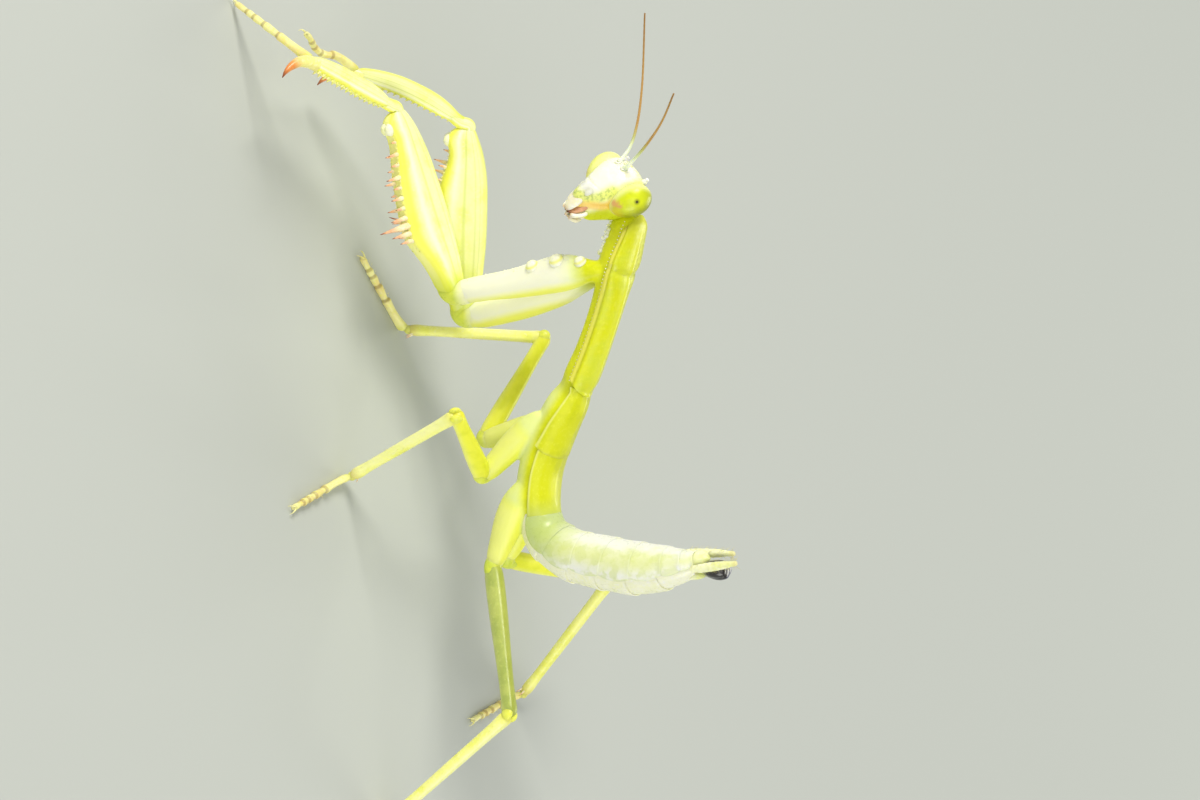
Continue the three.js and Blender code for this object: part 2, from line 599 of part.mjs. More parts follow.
function addWalkingLeg(pair, side) {
  const { root, hip, knee, ankle, tip } = legJoints(pair, side);
  const plane = new THREE.Vector3().crossVectors(between(hip, knee), between(knee, ankle)).normalize();
  const hipEnd = hip.clone().addScaledVector(between(root, hip), kneeReach);
  const kneeEnd = knee.clone().addScaledVector(between(hip, knee), kneeReach);
  const piece = (name, from, to) => [
    from, to, new THREE.Vector3().crossVectors(plane, between(from, to)), legTables[name], legSides,
  ];
  const coxa = piece('coxa', root, hipEnd);
  const femur = piece('femur', hip, kneeEnd);
  const tibia = piece('tibia', knee, ankle);
  const foot = walkingFoot(ankle, tip);
  const body = trunkRings.map((ends) => ring(...ends, jointGap));
  addNode(`${pair}_coxa_${side}`, cutClear(rod(...coxa), body), finishes.coxa);
  addNode(`${pair}_femur_${side}`, cutClear(rod(...femur), [rod(...coxa, jointGap)]), finishes.shin);
  addNode(`${pair}_tibia_${side}`, cutClear(rod(...tibia), [rod(...femur, jointGap)]), finishes.shin);
  addNode(`${pair}_tarsus_${side}`, settled(cutClear(foot, [rod(...tibia, jointGap)])), finishes.foot);
}

for (const side of ['left', 'right']) {
  addGraspingLeg(side);
  addWalkingLeg('mid', side);
  addWalkingLeg('hind', side);
}

export default mantis;
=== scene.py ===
# %% [markdown]
# # A praying mantis, life size
# The imported model gives every piece of this young green mantis its place and size. This lesson dresses that
# model as a museum would: one soft skin over the body, thin shell plates over the skin, and jointed legs,
# head and feelers as pieces of their own. The model loads first, because all else is placed by it.

# %% Load the imported model
import random
from math import asin, copysign, cos, degrees, exp, hypot, pi, radians, sin

import bmesh
import bpy
import numpy as np
from mathutils import Matrix, Vector
from mathutils.bvhtree import BVHTree


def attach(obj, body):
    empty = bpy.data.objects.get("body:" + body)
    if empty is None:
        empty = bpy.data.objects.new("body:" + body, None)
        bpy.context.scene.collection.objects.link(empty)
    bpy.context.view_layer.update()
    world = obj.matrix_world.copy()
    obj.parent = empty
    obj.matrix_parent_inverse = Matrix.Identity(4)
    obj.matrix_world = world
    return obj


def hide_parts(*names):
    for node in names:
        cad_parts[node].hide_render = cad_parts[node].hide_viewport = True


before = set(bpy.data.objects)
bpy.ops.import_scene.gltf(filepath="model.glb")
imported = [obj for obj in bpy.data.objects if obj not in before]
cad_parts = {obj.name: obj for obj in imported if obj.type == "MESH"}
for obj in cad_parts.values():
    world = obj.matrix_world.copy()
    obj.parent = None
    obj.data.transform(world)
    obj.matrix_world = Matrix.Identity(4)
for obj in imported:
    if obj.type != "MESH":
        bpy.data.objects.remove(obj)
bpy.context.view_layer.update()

# %% [markdown]
# ## Camera, floor and lamps
# A camera far away with a long lens keeps a small animal's proportions true. The animal climbs in the view,
# so the camera is rolled almost a quarter turn and the animal can stand on a level floor. The lamps are large
# and soft, as in a studio: a warm one in front of the head draws pale rims along the upper edges, and weaker
# ones open the shadows. Wax-like shell glows only in bright light, so the floor is pale and throws some back.

# %% The camera
camera_place = Vector((0.210716, -0.001177, 0.142402))
camera_right = Vector((-0.5046239, 0.1045577, 0.8569845))
camera_up = Vector((-0.0530476, -0.9945188, 0.0900914))
camera_data = bpy.data.cameras.new("camera")
camera_data.lens = 105
camera_data.sensor_width = 36
camera_data.clip_start = 0.01
camera_data.clip_end = 20
camera = bpy.data.objects.new("camera", camera_data)
bpy.context.scene.collection.objects.link(camera)
camera_back = camera_right.cross(camera_up).normalized()
turned = Matrix((camera_right, camera_up, camera_back)).transposed().to_4x4()
camera.matrix_world = Matrix.Translation(camera_place) @ turned
bpy.context.scene.camera = camera
print("camera", round(camera_place.length * 1000), "mm from the animal")


# %% Floor, air and lamps
def work_on(*pieces):
    """Leave edit mode, deselect everything and pick only these pieces."""
    if bpy.context.object and bpy.context.object.mode != "OBJECT":
        bpy.ops.object.mode_set(mode="OBJECT")
    bpy.ops.object.select_all(action="DESELECT")
    for piece in pieces:
        piece.select_set(True)
    bpy.context.view_layer.objects.active = pieces[0] if pieces else None


def srgb(red, green, blue):
    """A colour picked as on a paint card, 0 to 255, turned into the even scale that light adds up in."""
    return tuple((c / 255 / 12.92 if c < 11 else ((c / 255 + 0.055) / 1.055) ** 2.4)
                 for c in (red, green, blue)) + (1,)


def lamp(name, place, aim, size, power, tint):
    """A square soft lamp that faces a point."""
    data = bpy.data.lights.new(name, "AREA")
    data.size = size
    data.energy = power
    data.color = tint
    made = bpy.data.objects.new(name, data)
    made.location = place
    made.rotation_euler = (Vector(aim) - Vector(place)).to_track_quat("-Z", "Y").to_euler()
    bpy.context.scene.collection.objects.link(made)
    return made


def dial(node, values):
    """Set a node's own values by their names."""
    for name, value in values.items():
        node.inputs[name].default_value = value


def bare_paint(name):
    """A new material, its nodes and its shader."""
    material = bpy.data.materials.new(name)
    material.use_nodes = True
    return material, material.node_tree, material.node_tree.nodes["Principled BSDF"]


FLOOR_SIZE, FLOOR_DROP = 6, 0.00002     # metres: wide enough for every view, and a hair below the soles
work_on()
bpy.ops.mesh.primitive_plane_add(size=FLOOR_SIZE, location=(0, 0, -FLOOR_DROP))
floor = bpy.context.object
floor.name = "floor"
floor_paint, tree, shader = bare_paint("floor_paint")
dial(shader, {"Base Color": srgb(188, 192, 188), "Roughness": 0.9, "Specular IOR Level": 0.2})
floor.data.materials.append(floor_paint)

air = bpy.data.worlds.new("air")
air.use_nodes = True
dial(air.node_tree.nodes["Background"], {"Color": srgb(232, 233, 230), "Strength": 0.5})
bpy.context.scene.world = air
bpy.context.scene.view_settings.view_transform = "Standard"

lamp("key", (0.13, -0.33, 0.27), (0, 0, 0.012), 0.16, 1.6, (1.0, 0.97, 0.88))
lamp("fill", (0.42, 0.16, 0.3), (0, 0, 0.01), 0.4, 0.68, (1.0, 0.99, 0.96))
lamp("back", (-0.35, 0.1, 0.22), (0, 0, 0.012), 0.2, 0.55, (1.0, 1.0, 0.92))
lamp("low", (0.16, 0.4, 0.09), (0, 0, 0.015), 0.25, 0.85, (1.0, 1.0, 0.94))

# %% [markdown]
# ## Working in millimetres
# Blender counts in metres, but an insect is easier to think of in millimetres round a zero near its forefeet.
# So each piece is modelled a thousand times too large, and one helper then shrinks it and slides it into the
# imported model's place. Applying that change leaves the object itself unmoved and unscaled, with its place in
# its mesh, which keeps patterns that follow the object's own coordinates from sliding.

# %% From the workbench to its place
METRES, MILLIMETRES = 0.001, 1000
model_centre = Vector((2.28, -7.97, 0))
to_place = Matrix.Scale(METRES, 4) @ Matrix.Translation(-model_centre)


def hand_over(piece, slot, finish, *nodes):
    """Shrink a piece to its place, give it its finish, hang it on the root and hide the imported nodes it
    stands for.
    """
    work_on(piece)
    piece.matrix_world = to_place
    bpy.ops.object.transform_apply(location=True, rotation=True, scale=True)
    piece.data.materials.clear()
    piece.data.materials.append(finish)
    for polygon in piece.data.polygons:
        polygon.use_smooth = True
    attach(piece, "root")
    if nodes:
        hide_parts(*nodes)
    print(piece.name, len(piece.data.polygons), "faces")


# %% [markdown]
# ## Paint for shell and skin
# Insect shell is a thin, waxy, slightly see-through wall. Light goes a little way in and comes out again
# tinted, which subsurface scattering copies. Its colour is never even: broad clouds, fine freckles and
# a grain of tiny pits break it up. One recipe makes all the shell finishes, and each finish then adds bands
# that follow its own piece through numbers stored on the mesh, such as how far along a leg a point lies.

# %% Small helpers for paint
def add(tree, kind, sockets=None, **settings):
    """Add one shader node: settings are its buttons, sockets are values or links for its inputs."""
    made = tree.nodes.new("ShaderNode" + kind)
    for name, value in settings.items():
        setattr(made, name, value)
    for name, value in (sockets or {}).items():
        if isinstance(value, bpy.types.NodeSocket):
            tree.links.new(value, made.inputs[name])
        else:
            made.inputs[name].default_value = value
    return made


def blend(tree, amount, first, second):
    """Mix two colours by an amount. Each is a link or a colour from the paint card."""
    first, second = (srgb(*colour) if isinstance(colour, tuple) else colour for colour in (first, second))
    return add(tree, "Mix", {0: amount, 6: first, 7: second}, data_type="RGBA").outputs[2]


def spread(tree, value, low, high, top=1.0, bottom=0.0):
    """Turn a value into a soft step from bottom to top between two limits."""
    sockets = {"Value": value, "From Min": low, "From Max": high, "To Min": bottom, "To Max": top}
    return add(tree, "MapRange", sockets, interpolation_type="SMOOTHSTEP").outputs[0]


def count(tree, operation, first, second=0.0):
    """One sum between two values."""
    return add(tree, "Math", {0: first, 1: second}, operation=operation).outputs[0]


def stored(tree, name):
    """A number stored on the mesh, such as how far along a leg each point lies."""
    return add(tree, "Attribute", attribute_name=name).outputs["Fac"]


def lay(tree, colour, *layers):
    """Lay bands over a colour. A band is the stored number it follows, the two values between which it fades
    in, its strength and its colour. With a sixth entry it is a line: it lies at the first value, fades out
    over the second, and is solid as far as the sixth."""
    for mark, low, high, strength, tint, *core in layers:
        value = stored(tree, mark)
        if core:
            value = count(tree, "ABSOLUTE", count(tree, "SUBTRACT", value, low))
            low, high = high, core[0]
        colour = blend(tree, spread(tree, value, low, high, strength), colour, tint)
    return colour


def shell_paint(name, ground, cloud, freckle, rough=0.4, glow=0.3, coat=0.15, pits=0.25):
    """The common recipe. Gives the material, its nodes, its shader and the colour made so far."""
    material, tree, shader = bare_paint(name)
    place = add(tree, "TexCoord").outputs["Object"]
    clouds = add(tree, "TexNoise", {"Vector": place, "Scale": 620, "Detail": 3.0}).outputs[0]
    fine = add(tree, "TexNoise", {"Vector": place, "Scale": 4200, "Detail": 2.0}).outputs[0]
    colour = blend(tree, spread(tree, clouds, 0.42, 0.66), ground, cloud)
    colour = blend(tree, spread(tree, fine, 0.52, 0.72, 0.4), colour, freckle)
    grain = add(tree, "TexVoronoi", {"Vector": place, "Scale": 5200}, feature="SMOOTH_F1").outputs["Distance"]
    relief = count(tree, "ADD", grain, count(tree, "MULTIPLY", fine, 0.8))
    bump = add(tree, "Bump", {"Height": relief, "Strength": pits, "Distance": 0.00003})
    tree.links.new(bump.outputs[0], shader.inputs["Normal"])
    tree.links.new(spread(tree, fine, 0.3, 0.75, rough + 0.08, rough - 0.08), shader.inputs["Roughness"])
    dial(shader, {"Subsurface Weight": glow, "Subsurface Radius": (1.0, 0.95, 0.35),
                  "Subsurface Scale": 0.0006, "Specular IOR Level": 0.32,
                  "Coat Weight": coat, "Coat Roughness": 0.3})
    return material, tree, shader, colour


def paint(name, colours, dials=(), *layers):
    """A whole finish: the recipe with its three colours and its dials, and the bands laid over it."""
    material, tree, shader, colour = shell_paint(name, *colours, *dials)
    tree.links.new(lay(tree, colour, *layers), shader.inputs["Base Color"])
    return material


VIVID, LEAF, LEMON = (224, 228, 6), (210, 216, 4), (238, 241, 70)
CREAM, MILK, PALE_GREEN = (252, 252, 226), (252, 252, 236), (230, 240, 172)
print("paint recipe ready")

# %% [markdown]
# ## Pulling a body out ring by ring
# A leg or an abdomen is a tube whose outline changes along its length. By hand one adds a flat disc, extrudes
# it a short way, sizes the new rim, and extrudes again. The helper below does just that: the extrude operator
# makes each new rim, and its points then move to the outline worked out for that place, so rims may be round,
# keeled or crescent-shaped. It also stores two numbers for the paint: how far along the tube a point lies and
# how far to its inner side.

# %% Rims and tubes
def rim(at, across, over, width, rise, drop=None, square=1.0, square_drop=None, sides=16):
    """Points round one rim: half-width across, reach above and below, and how square each half is."""
    drop = rise if drop is None else drop
    square_drop = square if square_drop is None else square_drop
    swell = 3 / (2 + cos(2 * pi / sides))
    points = []
    for k in range(sides):
        turn = 2 * pi * k / sides
        x, y = cos(turn), sin(turn)
        power = 1 / (square if y > 0 else square_drop)
        x = copysign(abs(x) ** power, x) * width * swell
        y = copysign(abs(y) ** power, y) * (rise if y > 0 else drop) * swell
        points.append(at + across * x + over * y)
    return points


def move_rim(piece, rim_order, points):
    """Move the points of the rim that was just made to their places."""
    shape = bmesh.from_edit_mesh(piece.data)
    shape.verts.ensure_lookup_table()
    for index, point in zip(rim_order, points):
        shape.verts[index].co = point


def next_rim(piece, rim_order):
    """The new rim's points, in the order of the rim they were extruded from."""
    shape = bmesh.from_edit_mesh(piece.data)
    shape.verts.ensure_lookup_table()
    found = []
    for index in rim_order:
        point = shape.verts[index]
        ends = [edge.other_vert(point) for edge in point.link_edges]
        found.append(next(end.index for end in ends if end.select and end.index > index))
    return found


def pull_out(name, rims, levels=2, marks=None):
    """A closed body through rims of points, smoothed by a subdivision surface that is applied."""
    work_on()
    bpy.ops.mesh.primitive_circle_add(vertices=len(rims[0]), fill_type="NGON")
    piece = bpy.context.object
    piece.name = name
    bpy.ops.object.mode_set(mode="EDIT")
    order = [list(range(len(rims[0])))]
    move_rim(piece, order[0], rims[0])
    for points in rims[1:]:
        bpy.ops.mesh.extrude_region_move()
        bmesh.from_edit_mesh(piece.data).verts.index_update()
        order.append(next_rim(piece, order[-1]))
        move_rim(piece, order[-1], points)
    bpy.ops.mesh.select_all(action="SELECT")
    bpy.ops.mesh.normals_make_consistent(inside=False)
    bpy.ops.object.mode_set(mode="OBJECT")
    along, inner = [0.0] * len(piece.data.vertices), [0.0] * len(piece.data.vertices)
    for i, row in enumerate(order):
        for k, index in enumerate(row):
            along[index] = marks[i] if marks else i / (len(rims) - 1)
            inner[index] = sin(2 * pi * k / len(row))
    store(piece, "along", along)
    store(piece, "inner", inner)
    return smooth_out(piece, levels)


def store(piece, name, values):
    """Store one number for each point of a piece."""
    piece.data.attributes.new(name, "FLOAT", "POINT")
    piece.data.attributes[name].data.foreach_set("value", values)


def apply_with(piece, kind, **settings):
    """Add a modifier with these settings and apply it."""
    work_on(piece)
    modifier = piece.modifiers.new(kind.lower(), kind)
    for name, value in settings.items():
        setattr(modifier, name, value)
    bpy.ops.object.modifier_apply(modifier=modifier.name)


def smooth_out(piece, levels):
    """Apply a subdivision surface."""
    if levels:
        apply_with(piece, "SUBSURF", levels=levels, render_levels=levels)
    return piece


def join_up(name, pieces):
    """Join pieces into one mesh."""
    work_on(*pieces)
    if len(pieces) > 1:
        bpy.ops.object.join()
    joined = bpy.context.object
    joined.name = name
    return joined


def read_table(table, place):
    """Values between a table's rows, along a smooth curve. The first column is the place."""
    place = min(max(place, table[0][0]), table[-1][0])
    k = next((i for i in range(1, len(table)) if table[i][0] >= place), len(table) - 1)
    low, high = table[k - 1], table[k]
    before, after = table[max(k - 2, 0)], table[min(k + 1, len(table) - 1)]
    span = high[0] - low[0]
    t = (place - low[0]) / span
    values = []
    for c in range(1, len(low)):
        climb_in = (high[c] - before[c]) / (high[0] - before[0]) * span
        climb_out = (after[c] - low[c]) / (after[0] - low[0]) * span
        values.append((2 * t**3 - 3 * t**2 + 1) * low[c] + (t**3 - 2 * t**2 + t) * climb_in
                      + (3 * t**2 - 2 * t**3) * high[c] + (t**3 - t**2) * climb_out)
    return values


def smooth_path(knots, steps=30):
    """Points along a smooth curve through the knots, spaced evenly enough between uneven knots."""
    ends = [2 * knots[0] - knots[1]] + list(knots) + [2 * knots[-1] - knots[-2]]
    points = []
    for a, b, c, d in zip(ends, ends[1:], ends[2:], ends[3:]):
        times = [0.0]
        for p, q in ((a, b), (b, c), (c, d)):
            times.append(times[-1] + (q - p).length ** 0.5)

        def mix(p, q, i, j, s):
            """The point at time s on the line from p to q."""
            return p + (q - p) * ((s - times[i]) / (times[j] - times[i]))

        for step in range(steps):
            s = times[1] + (times[2] - times[1]) * step / steps
            ab, bc, cd = mix(a, b, 0, 1, s), mix(b, c, 1, 2, s), mix(c, d, 2, 3, s)
            points.append(mix(mix(ab, bc, 0, 2, s), mix(bc, cd, 1, 3, s), 1, 2, s))
    points.append(knots[-1].copy())
    return points


print("tube helpers ready")

# %% [markdown]
# ## The line the body follows
# A mantis holds its long front part up and this young one curls its abdomen over its back. All of that is one
# bent line in the plane that splits the animal in two. Stretches of known length and climb give the line's
# knots, a smooth curve runs through them, and every rim of the body stands square to it.

# %% The midline and the frames along it
ACROSS = Vector((1, 0, 0))
midline_knots = [Vector((0, -22.0, 20.85))]
for length, climb in [(6.3, -21), (6.5, -28), (3.8, -38), (3.8, -26), (3.8, -2),
                      (2.6, 47), (2.5, 73), (3.3, 78), (3.2, 90), (2.15, 99)]:
    step = Vector((0, cos(radians(climb)), sin(radians(climb)))) * length
    midline_knots.append(midline_knots[-1] + step)
midline = smooth_path(midline_knots, 40)
reached = [0.0]
for p, q in zip(midline, midline[1:]):
    reached.append(reached[-1] + (q - p).length)


def on_midline(place, lift=0.0):
    """The body's middle this far from the front of its shield, its heading, and the way to its back."""
    inside = min(max(place, 0.0), reached[-1] - 1e-6)
    k = next(i for i in range(1, len(reached)) if reached[i] > inside)
    part = (inside - reached[k - 1]) / (reached[k] - reached[k - 1])
    along = (midline[min(k + 1, len(midline) - 1)] - midline[max(k - 2, 0)]).normalized()
    over = ACROSS.cross(along)
    at = midline[k - 1].lerp(midline[k], part) + along * (place - inside)
    return at + over * lift, along, over


print("midline", round(reached[-1], 2), "mm")

# %% [markdown]
# ## One skin for the soft body
# Under its plates the animal is a single soft bag: neck, thorax, abdomen and the thick first pieces of its
# legs all run into each other. So each is pulled out as a tube that reaches into its neighbour, the tubes are
# joined, and a voxel remesh wraps them in one even skin with no seam. A few rounds of smoothing then ease the
# creases between leg and body, as the folded skin there does.

# %% Sizes of the body along its midline
# Place, half-width, height of the shield over its rim, depth under the rim, and lift of the rim.
prothorax_table = [
    (0.0, 0.95, 0.5, 1.4, 0.75), (0.6, 1.25, 0.65, 1.65, 0.7), (1.8, 1.45, 0.75, 1.7, 0.6),
    (3.4, 1.75, 0.85, 1.5, 0.4), (4.6, 1.6, 0.95, 1.3, 0.2), (6.0, 1.3, 1.1, 1.0, 0.0),
    (8.0, 1.2, 1.15, 0.9, -0.1), (10.5, 1.25, 1.15, 0.95, -0.15), (12.2, 1.35, 1.1, 1.1, -0.15),
    (13.1, 1.2, 0.85, 1.1, -0.1),
]
# Place, half-width, rise and drop of the rings behind it.
trunk_table = [
    (13.3, 1.15, 0.8, 1.35), (14.4, 1.5, 1.1, 1.7), (16.2, 1.75, 1.25, 1.7), (18.4, 1.8, 1.2, 1.75),
    (20.4, 1.85, 1.1, 1.85), (22.2, 1.75, 1.15, 1.75), (23.4, 1.6, 1.35, 1.65), (25.2, 1.8, 1.65, 1.7),
    (27.4, 2.05, 1.85, 1.75), (30.0, 2.15, 1.9, 1.8), (32.6, 2.1, 1.85, 1.75), (34.4, 1.8, 1.6, 1.5),
    (35.9, 1.4, 1.2, 1.15), (37.2, 0.85, 0.7, 0.7),
]
PLATE_ROOM = 0.07                       # how far the skin lies inside the plates over it
UNDER_SHIELD = 0.2                      # from the shield's rim down to the flank's own middle
skin_table = [(place, width - PLATE_ROOM, rise - PLATE_ROOM, drop + UNDER_SHIELD, lift)
              for place, width, rise, drop, lift in prothorax_table]
skin_table += [(place, width - PLATE_ROOM, rise - PLATE_ROOM, drop - 0.03, 0.0)
               for place, width, rise, drop in trunk_table]


def body_rim(place, grow=0.0, sides=20):
    """A rim of the soft body."""
    width, rise, drop, lift = read_table(skin_table, place)
    at, along, over = on_midline(place, lift)
    return rim(at, ACROSS, over, width + grow, rise + grow, drop + grow, 1.1, 1.0, sides)


RIM_STEP, RIM_COUNT = 0.6, 62
trunk = pull_out("trunk", [body_rim(RIM_STEP * i) for i in range(RIM_COUNT)], 1)
print("trunk", len(trunk.data.vertices), "points")

# %% The head's own axes, and the neck
head_left = Vector((0.376, 0.625, 0.682)).normalized()
head_crown = Vector((-0.565, -0.429, 0.705)).normalized()
head_front = head_left.cross(head_crown).normalized()
head_middle = Vector((0.71, -23.93, 20.76))
head_axes = Matrix((head_left, head_crown, head_front)).transposed().to_4x4()
to_head = Matrix.Translation(head_middle) @ head_axes

neck_knots = [to_head @ Vector((0, -0.5, -0.9)), to_head @ Vector((0, -0.42, -1.75)),
              on_midline(0.3, -0.1)[0], on_midline(2.0, 0.0)[0]]
neck_path = smooth_path(neck_knots, 5)
neck_rims = []
for i, at in enumerate(neck_path):
    along = (neck_path[min(i + 1, len(neck_path) - 1)] - neck_path[max(i - 1, 0)]).normalized()
    over = along.cross(ACROSS).normalized() * -1
    fold = 0.05 * cos(2 * pi * i / 2.5)
    neck_rims.append(rim(at, ACROSS, over, 0.9 + fold, 0.85 + fold, sides=16))
neck = pull_out("neck", neck_rims, 1)
print("neck", len(neck_rims), "rims")

# %% [markdown]
# ## Where the legs stand
# Each leg is a chain: root, hip, knee, ankle, tip. A length and two angles lead from one joint to the next,
# and a walking leg's shin is tilted just enough to bring its ankle down to the floor. All later leg pieces
# are placed by these joints.

# %% Joints of the six legs
ANKLE_HEIGHT, TIP_HEIGHT = 0.8, 0.3
leg_lengths = {"fore": (11.4, 14.3, 8.8, 7.4), "mid": (5.6, 9.0, 10.0, 6.9), "hind": (5.4, 11.5, 11.7, 6.6)}
leg_roots = {
    ("fore", "left"): (1.2, -18.2, 18.0), ("fore", "right"): (-1.3, -17.4, 17.0),
    ("mid", "left"): (1.1, -7.85, 11.8), ("mid", "right"): (-1.1, -7.85, 11.8),
    ("hind", "left"): (1.15, -2.65, 10.4), ("hind", "right"): (-1.15, -2.65, 10.4),
}
# Heading and rise of coxa, femur, tibia and tarsus, in degrees. None comes down to the floor.
stance = {
    ("fore", "left"): ((57.5, -88), (-66.5, 2), (-22.5, -8), (-86, None)),
    ("fore", "right"): ((83.5, -84), (-75.5, 17), (-42, -40), (-18.5, 9)),
    ("mid", "left"): ((91.5, -54.5), (-32, 19), (92, None), (14.5, None)),
    ("mid", "right"): ((96.5, -82.5), (-124, 20.5), (-18.5, None), (-53, None)),
    ("hind", "left"): ((89.5, -34), (68, 14), (72, None), (41.5, None)),
    ("hind", "right"): ((90.5, -39), (166, 11), (85.5, None), (10, None)),
}


def toward(heading, rise):
    """The direction that turns this far from +X towards +Y and climbs this much."""
    turn, climb = radians(heading), radians(rise)
    return Vector((cos(climb) * cos(turn), cos(climb) * sin(turn), sin(climb)))


def leg_joints(pair, side):
    """Root, hip, knee, ankle and tip of a leg."""
    joints = [Vector(leg_roots[pair, side])]
    for k, (heading, rise) in enumerate(stance[pair, side]):
        length = leg_lengths[pair][k]
        if rise is None:
            fall = joints[-1].z - (ANKLE_HEIGHT if k == 2 else TIP_HEIGHT)
            rise = -degrees(asin(fall / length))
        joints.append(joints[-1] + toward(heading, rise) * length)
    return joints


legs = {key: leg_joints(*key) for key in leg_roots}
for key, joints in legs.items():
    print(key, "knee", [round(v, 1) for v in joints[2]])


# %% Pieces of a leg
def square_to(along, other):
    """The direction square to a line, on the side of another direction."""
    return (other - along * other.dot(along)).normalized()


def between(start, end):
    """The direction from one point to another, of length 1."""
    return (end - start).normalized()


def hump(value, middle, width):
    """A smooth bump of height 1."""
    return exp(-((value - middle) / width) ** 2)


def limb_rims(start, end, over, table, steps=24, sides=14, bow=0.0, square=1.0, square_drop=None, keels=()):
    """Rims along a straight or slightly bowed piece. A table row is part, half-width, inner and outer reach.
    Each keel is a turn round the rim in degrees and the height of a ridge that runs along it."""
    across = (end - start).cross(over).normalized()
    upright = across.cross(end - start).normalized()
    rims = []
    for i in range(steps + 1):
        part = i / steps
        width, inner, outer = read_table(table, part)
        at = start.lerp(end, part) + upright * bow * sin(pi * part)
        points = rim(at, across, upright, width, inner, outer, square, square_drop, sides)
        for k, point in enumerate(points):
            turn = 360 * k / sides
            ridge = sum(height * hump(((turn - keel + 180) % 360) - 180, 0, 11) for keel, height in keels)
            point += (point - at).normalized() * ridge * min(1, 6 * part, 6 * (1 - part))
        rims.append(points)
    return rims


# The grasping legs' tables reach forwards and backwards. The right leg hangs a little further back.
fore_coxa_table = [
    (0, 0.5, 0.5, 0.5), (0.094, 0.75, 0.9, 0.75), (0.13, 0.9, 1.12, 0.84), (0.183, 1.08, 1.4, 1.0),
    (0.259, 1.18, 1.55, 1.14), (0.405, 1.12, 1.38, 1.13), (0.593, 1.0, 1.06, 1.06), (0.753, 0.93, 0.98, 0.92),
    (0.895, 0.85, 0.9, 0.88), (0.984, 0.65, 0.75, 0.72), (1, 0.5, 0.55, 0.55)]
right_coxa_table = [
    (0, 0.5, 0.5, 0.4), (0.1, 0.85, 0.9, 0.5), (0.2, 1.0, 1.15, 0.85), (0.3, 1.1, 1.25, 1.25),
    (0.45, 1.12, 1.2, 1.45), (0.6, 1.05, 1.08, 1.5), (0.75, 0.98, 0.98, 1.4), (0.88, 0.9, 0.9, 1.25),
    (0.97, 0.7, 0.75, 0.85), (1, 0.5, 0.55, 0.55)]
mid_coxa_table = [
    (0, 0.35, 0.4, 0.4), (0.12, 0.7, 0.8, 0.75), (0.25, 0.9, 1.0, 0.95), (0.5, 0.9, 1.0, 1.0),
    (0.75, 0.78, 0.86, 0.86), (0.92, 0.65, 0.72, 0.74), (1, 0.42, 0.48, 0.48)]
hind_coxa_table = [
    (0, 0.5, 0.8, 0.4), (0.19, 0.85, 1.38, 0.8), (0.4, 0.94, 1.46, 0.9), (0.59, 0.9, 1.28, 0.88),
    (0.75, 0.78, 1.0, 0.8), (0.91, 0.66, 0.74, 0.7), (1, 0.42, 0.48, 0.48)]
coxa_sinks = {"fore": 1.2, "mid": 1.3, "hind": 1.3}     # how far each leg root starts inside the body
coxa_pieces = []
coxa_lines = {}
for (pair, side), (root, hip, knee, ankle, tip) in legs.items():
    down = between(root, hip)
    inner = square_to(down, Vector((0, 0, -1))) if pair != "fore" else None
    end = hip + down * (0.2 if pair == "fore" else 0.1)
    start = root - down * coxa_sinks[pair]
    table = mid_coxa_table if pair == "mid" else hind_coxa_table
    if pair == "fore":
        table = fore_coxa_table if side == "left" else right_coxa_table
        inner = square_to(down, Vector((0.25 if side == "left" else -0.25, -1, 0)))
        start += Vector((0, 0, 0)) if side == "left" else Vector((0.05, -0.5, 0.1))
    coxa_pieces.append(pull_out(f"coxa_{pair}_{side}", limb_rims(start, end, inner, table, 16), 1))
    coxa_lines[pair, side] = (root, hip, inner, 1.2 if pair == "fore" else 1.0)
print("coxae", len(coxa_pieces))

# %% Wrap them in one skin
skin = join_up("soft_skin", [trunk, neck] + coxa_pieces)
SKIN_GRAIN = 0.115                      # size of the remesh's cells
# How far a fold runs along a leg, and how far out it is at its softest.
SOFT_REACH, SOFT_CORE = 1.6, 1.5
apply_with(skin, "REMESH", mode="VOXEL", voxel_size=SKIN_GRAIN)
apply_with(skin, "SMOOTH", factor=0.5, iterations=5)

# Where a leg grows out of the body, the skin is eased much further, into a wide soft fold.
fold = skin.vertex_groups.new(name="fold")
for vertex in skin.data.vertices:
    for root, hip, inner, radius in coxa_lines.values():
        down = between(root, hip)
        reach = (vertex.co - root).dot(down)
        if -SOFT_REACH < reach < SOFT_REACH:
            away = (vertex.co - root - down * reach).length
            weight = hump(reach, 0.0, 0.8) * (1 if away < SOFT_CORE else max(0, 1 - (away - SOFT_CORE) / 0.8))
            if weight > 0.05:
                fold.add([vertex.index], weight, "REPLACE")
apply_with(skin, "SMOOTH", factor=0.5, iterations=30, vertex_group="fold")
skin.vertex_groups.clear()
print("skin", len(skin.data.polygons), "faces")

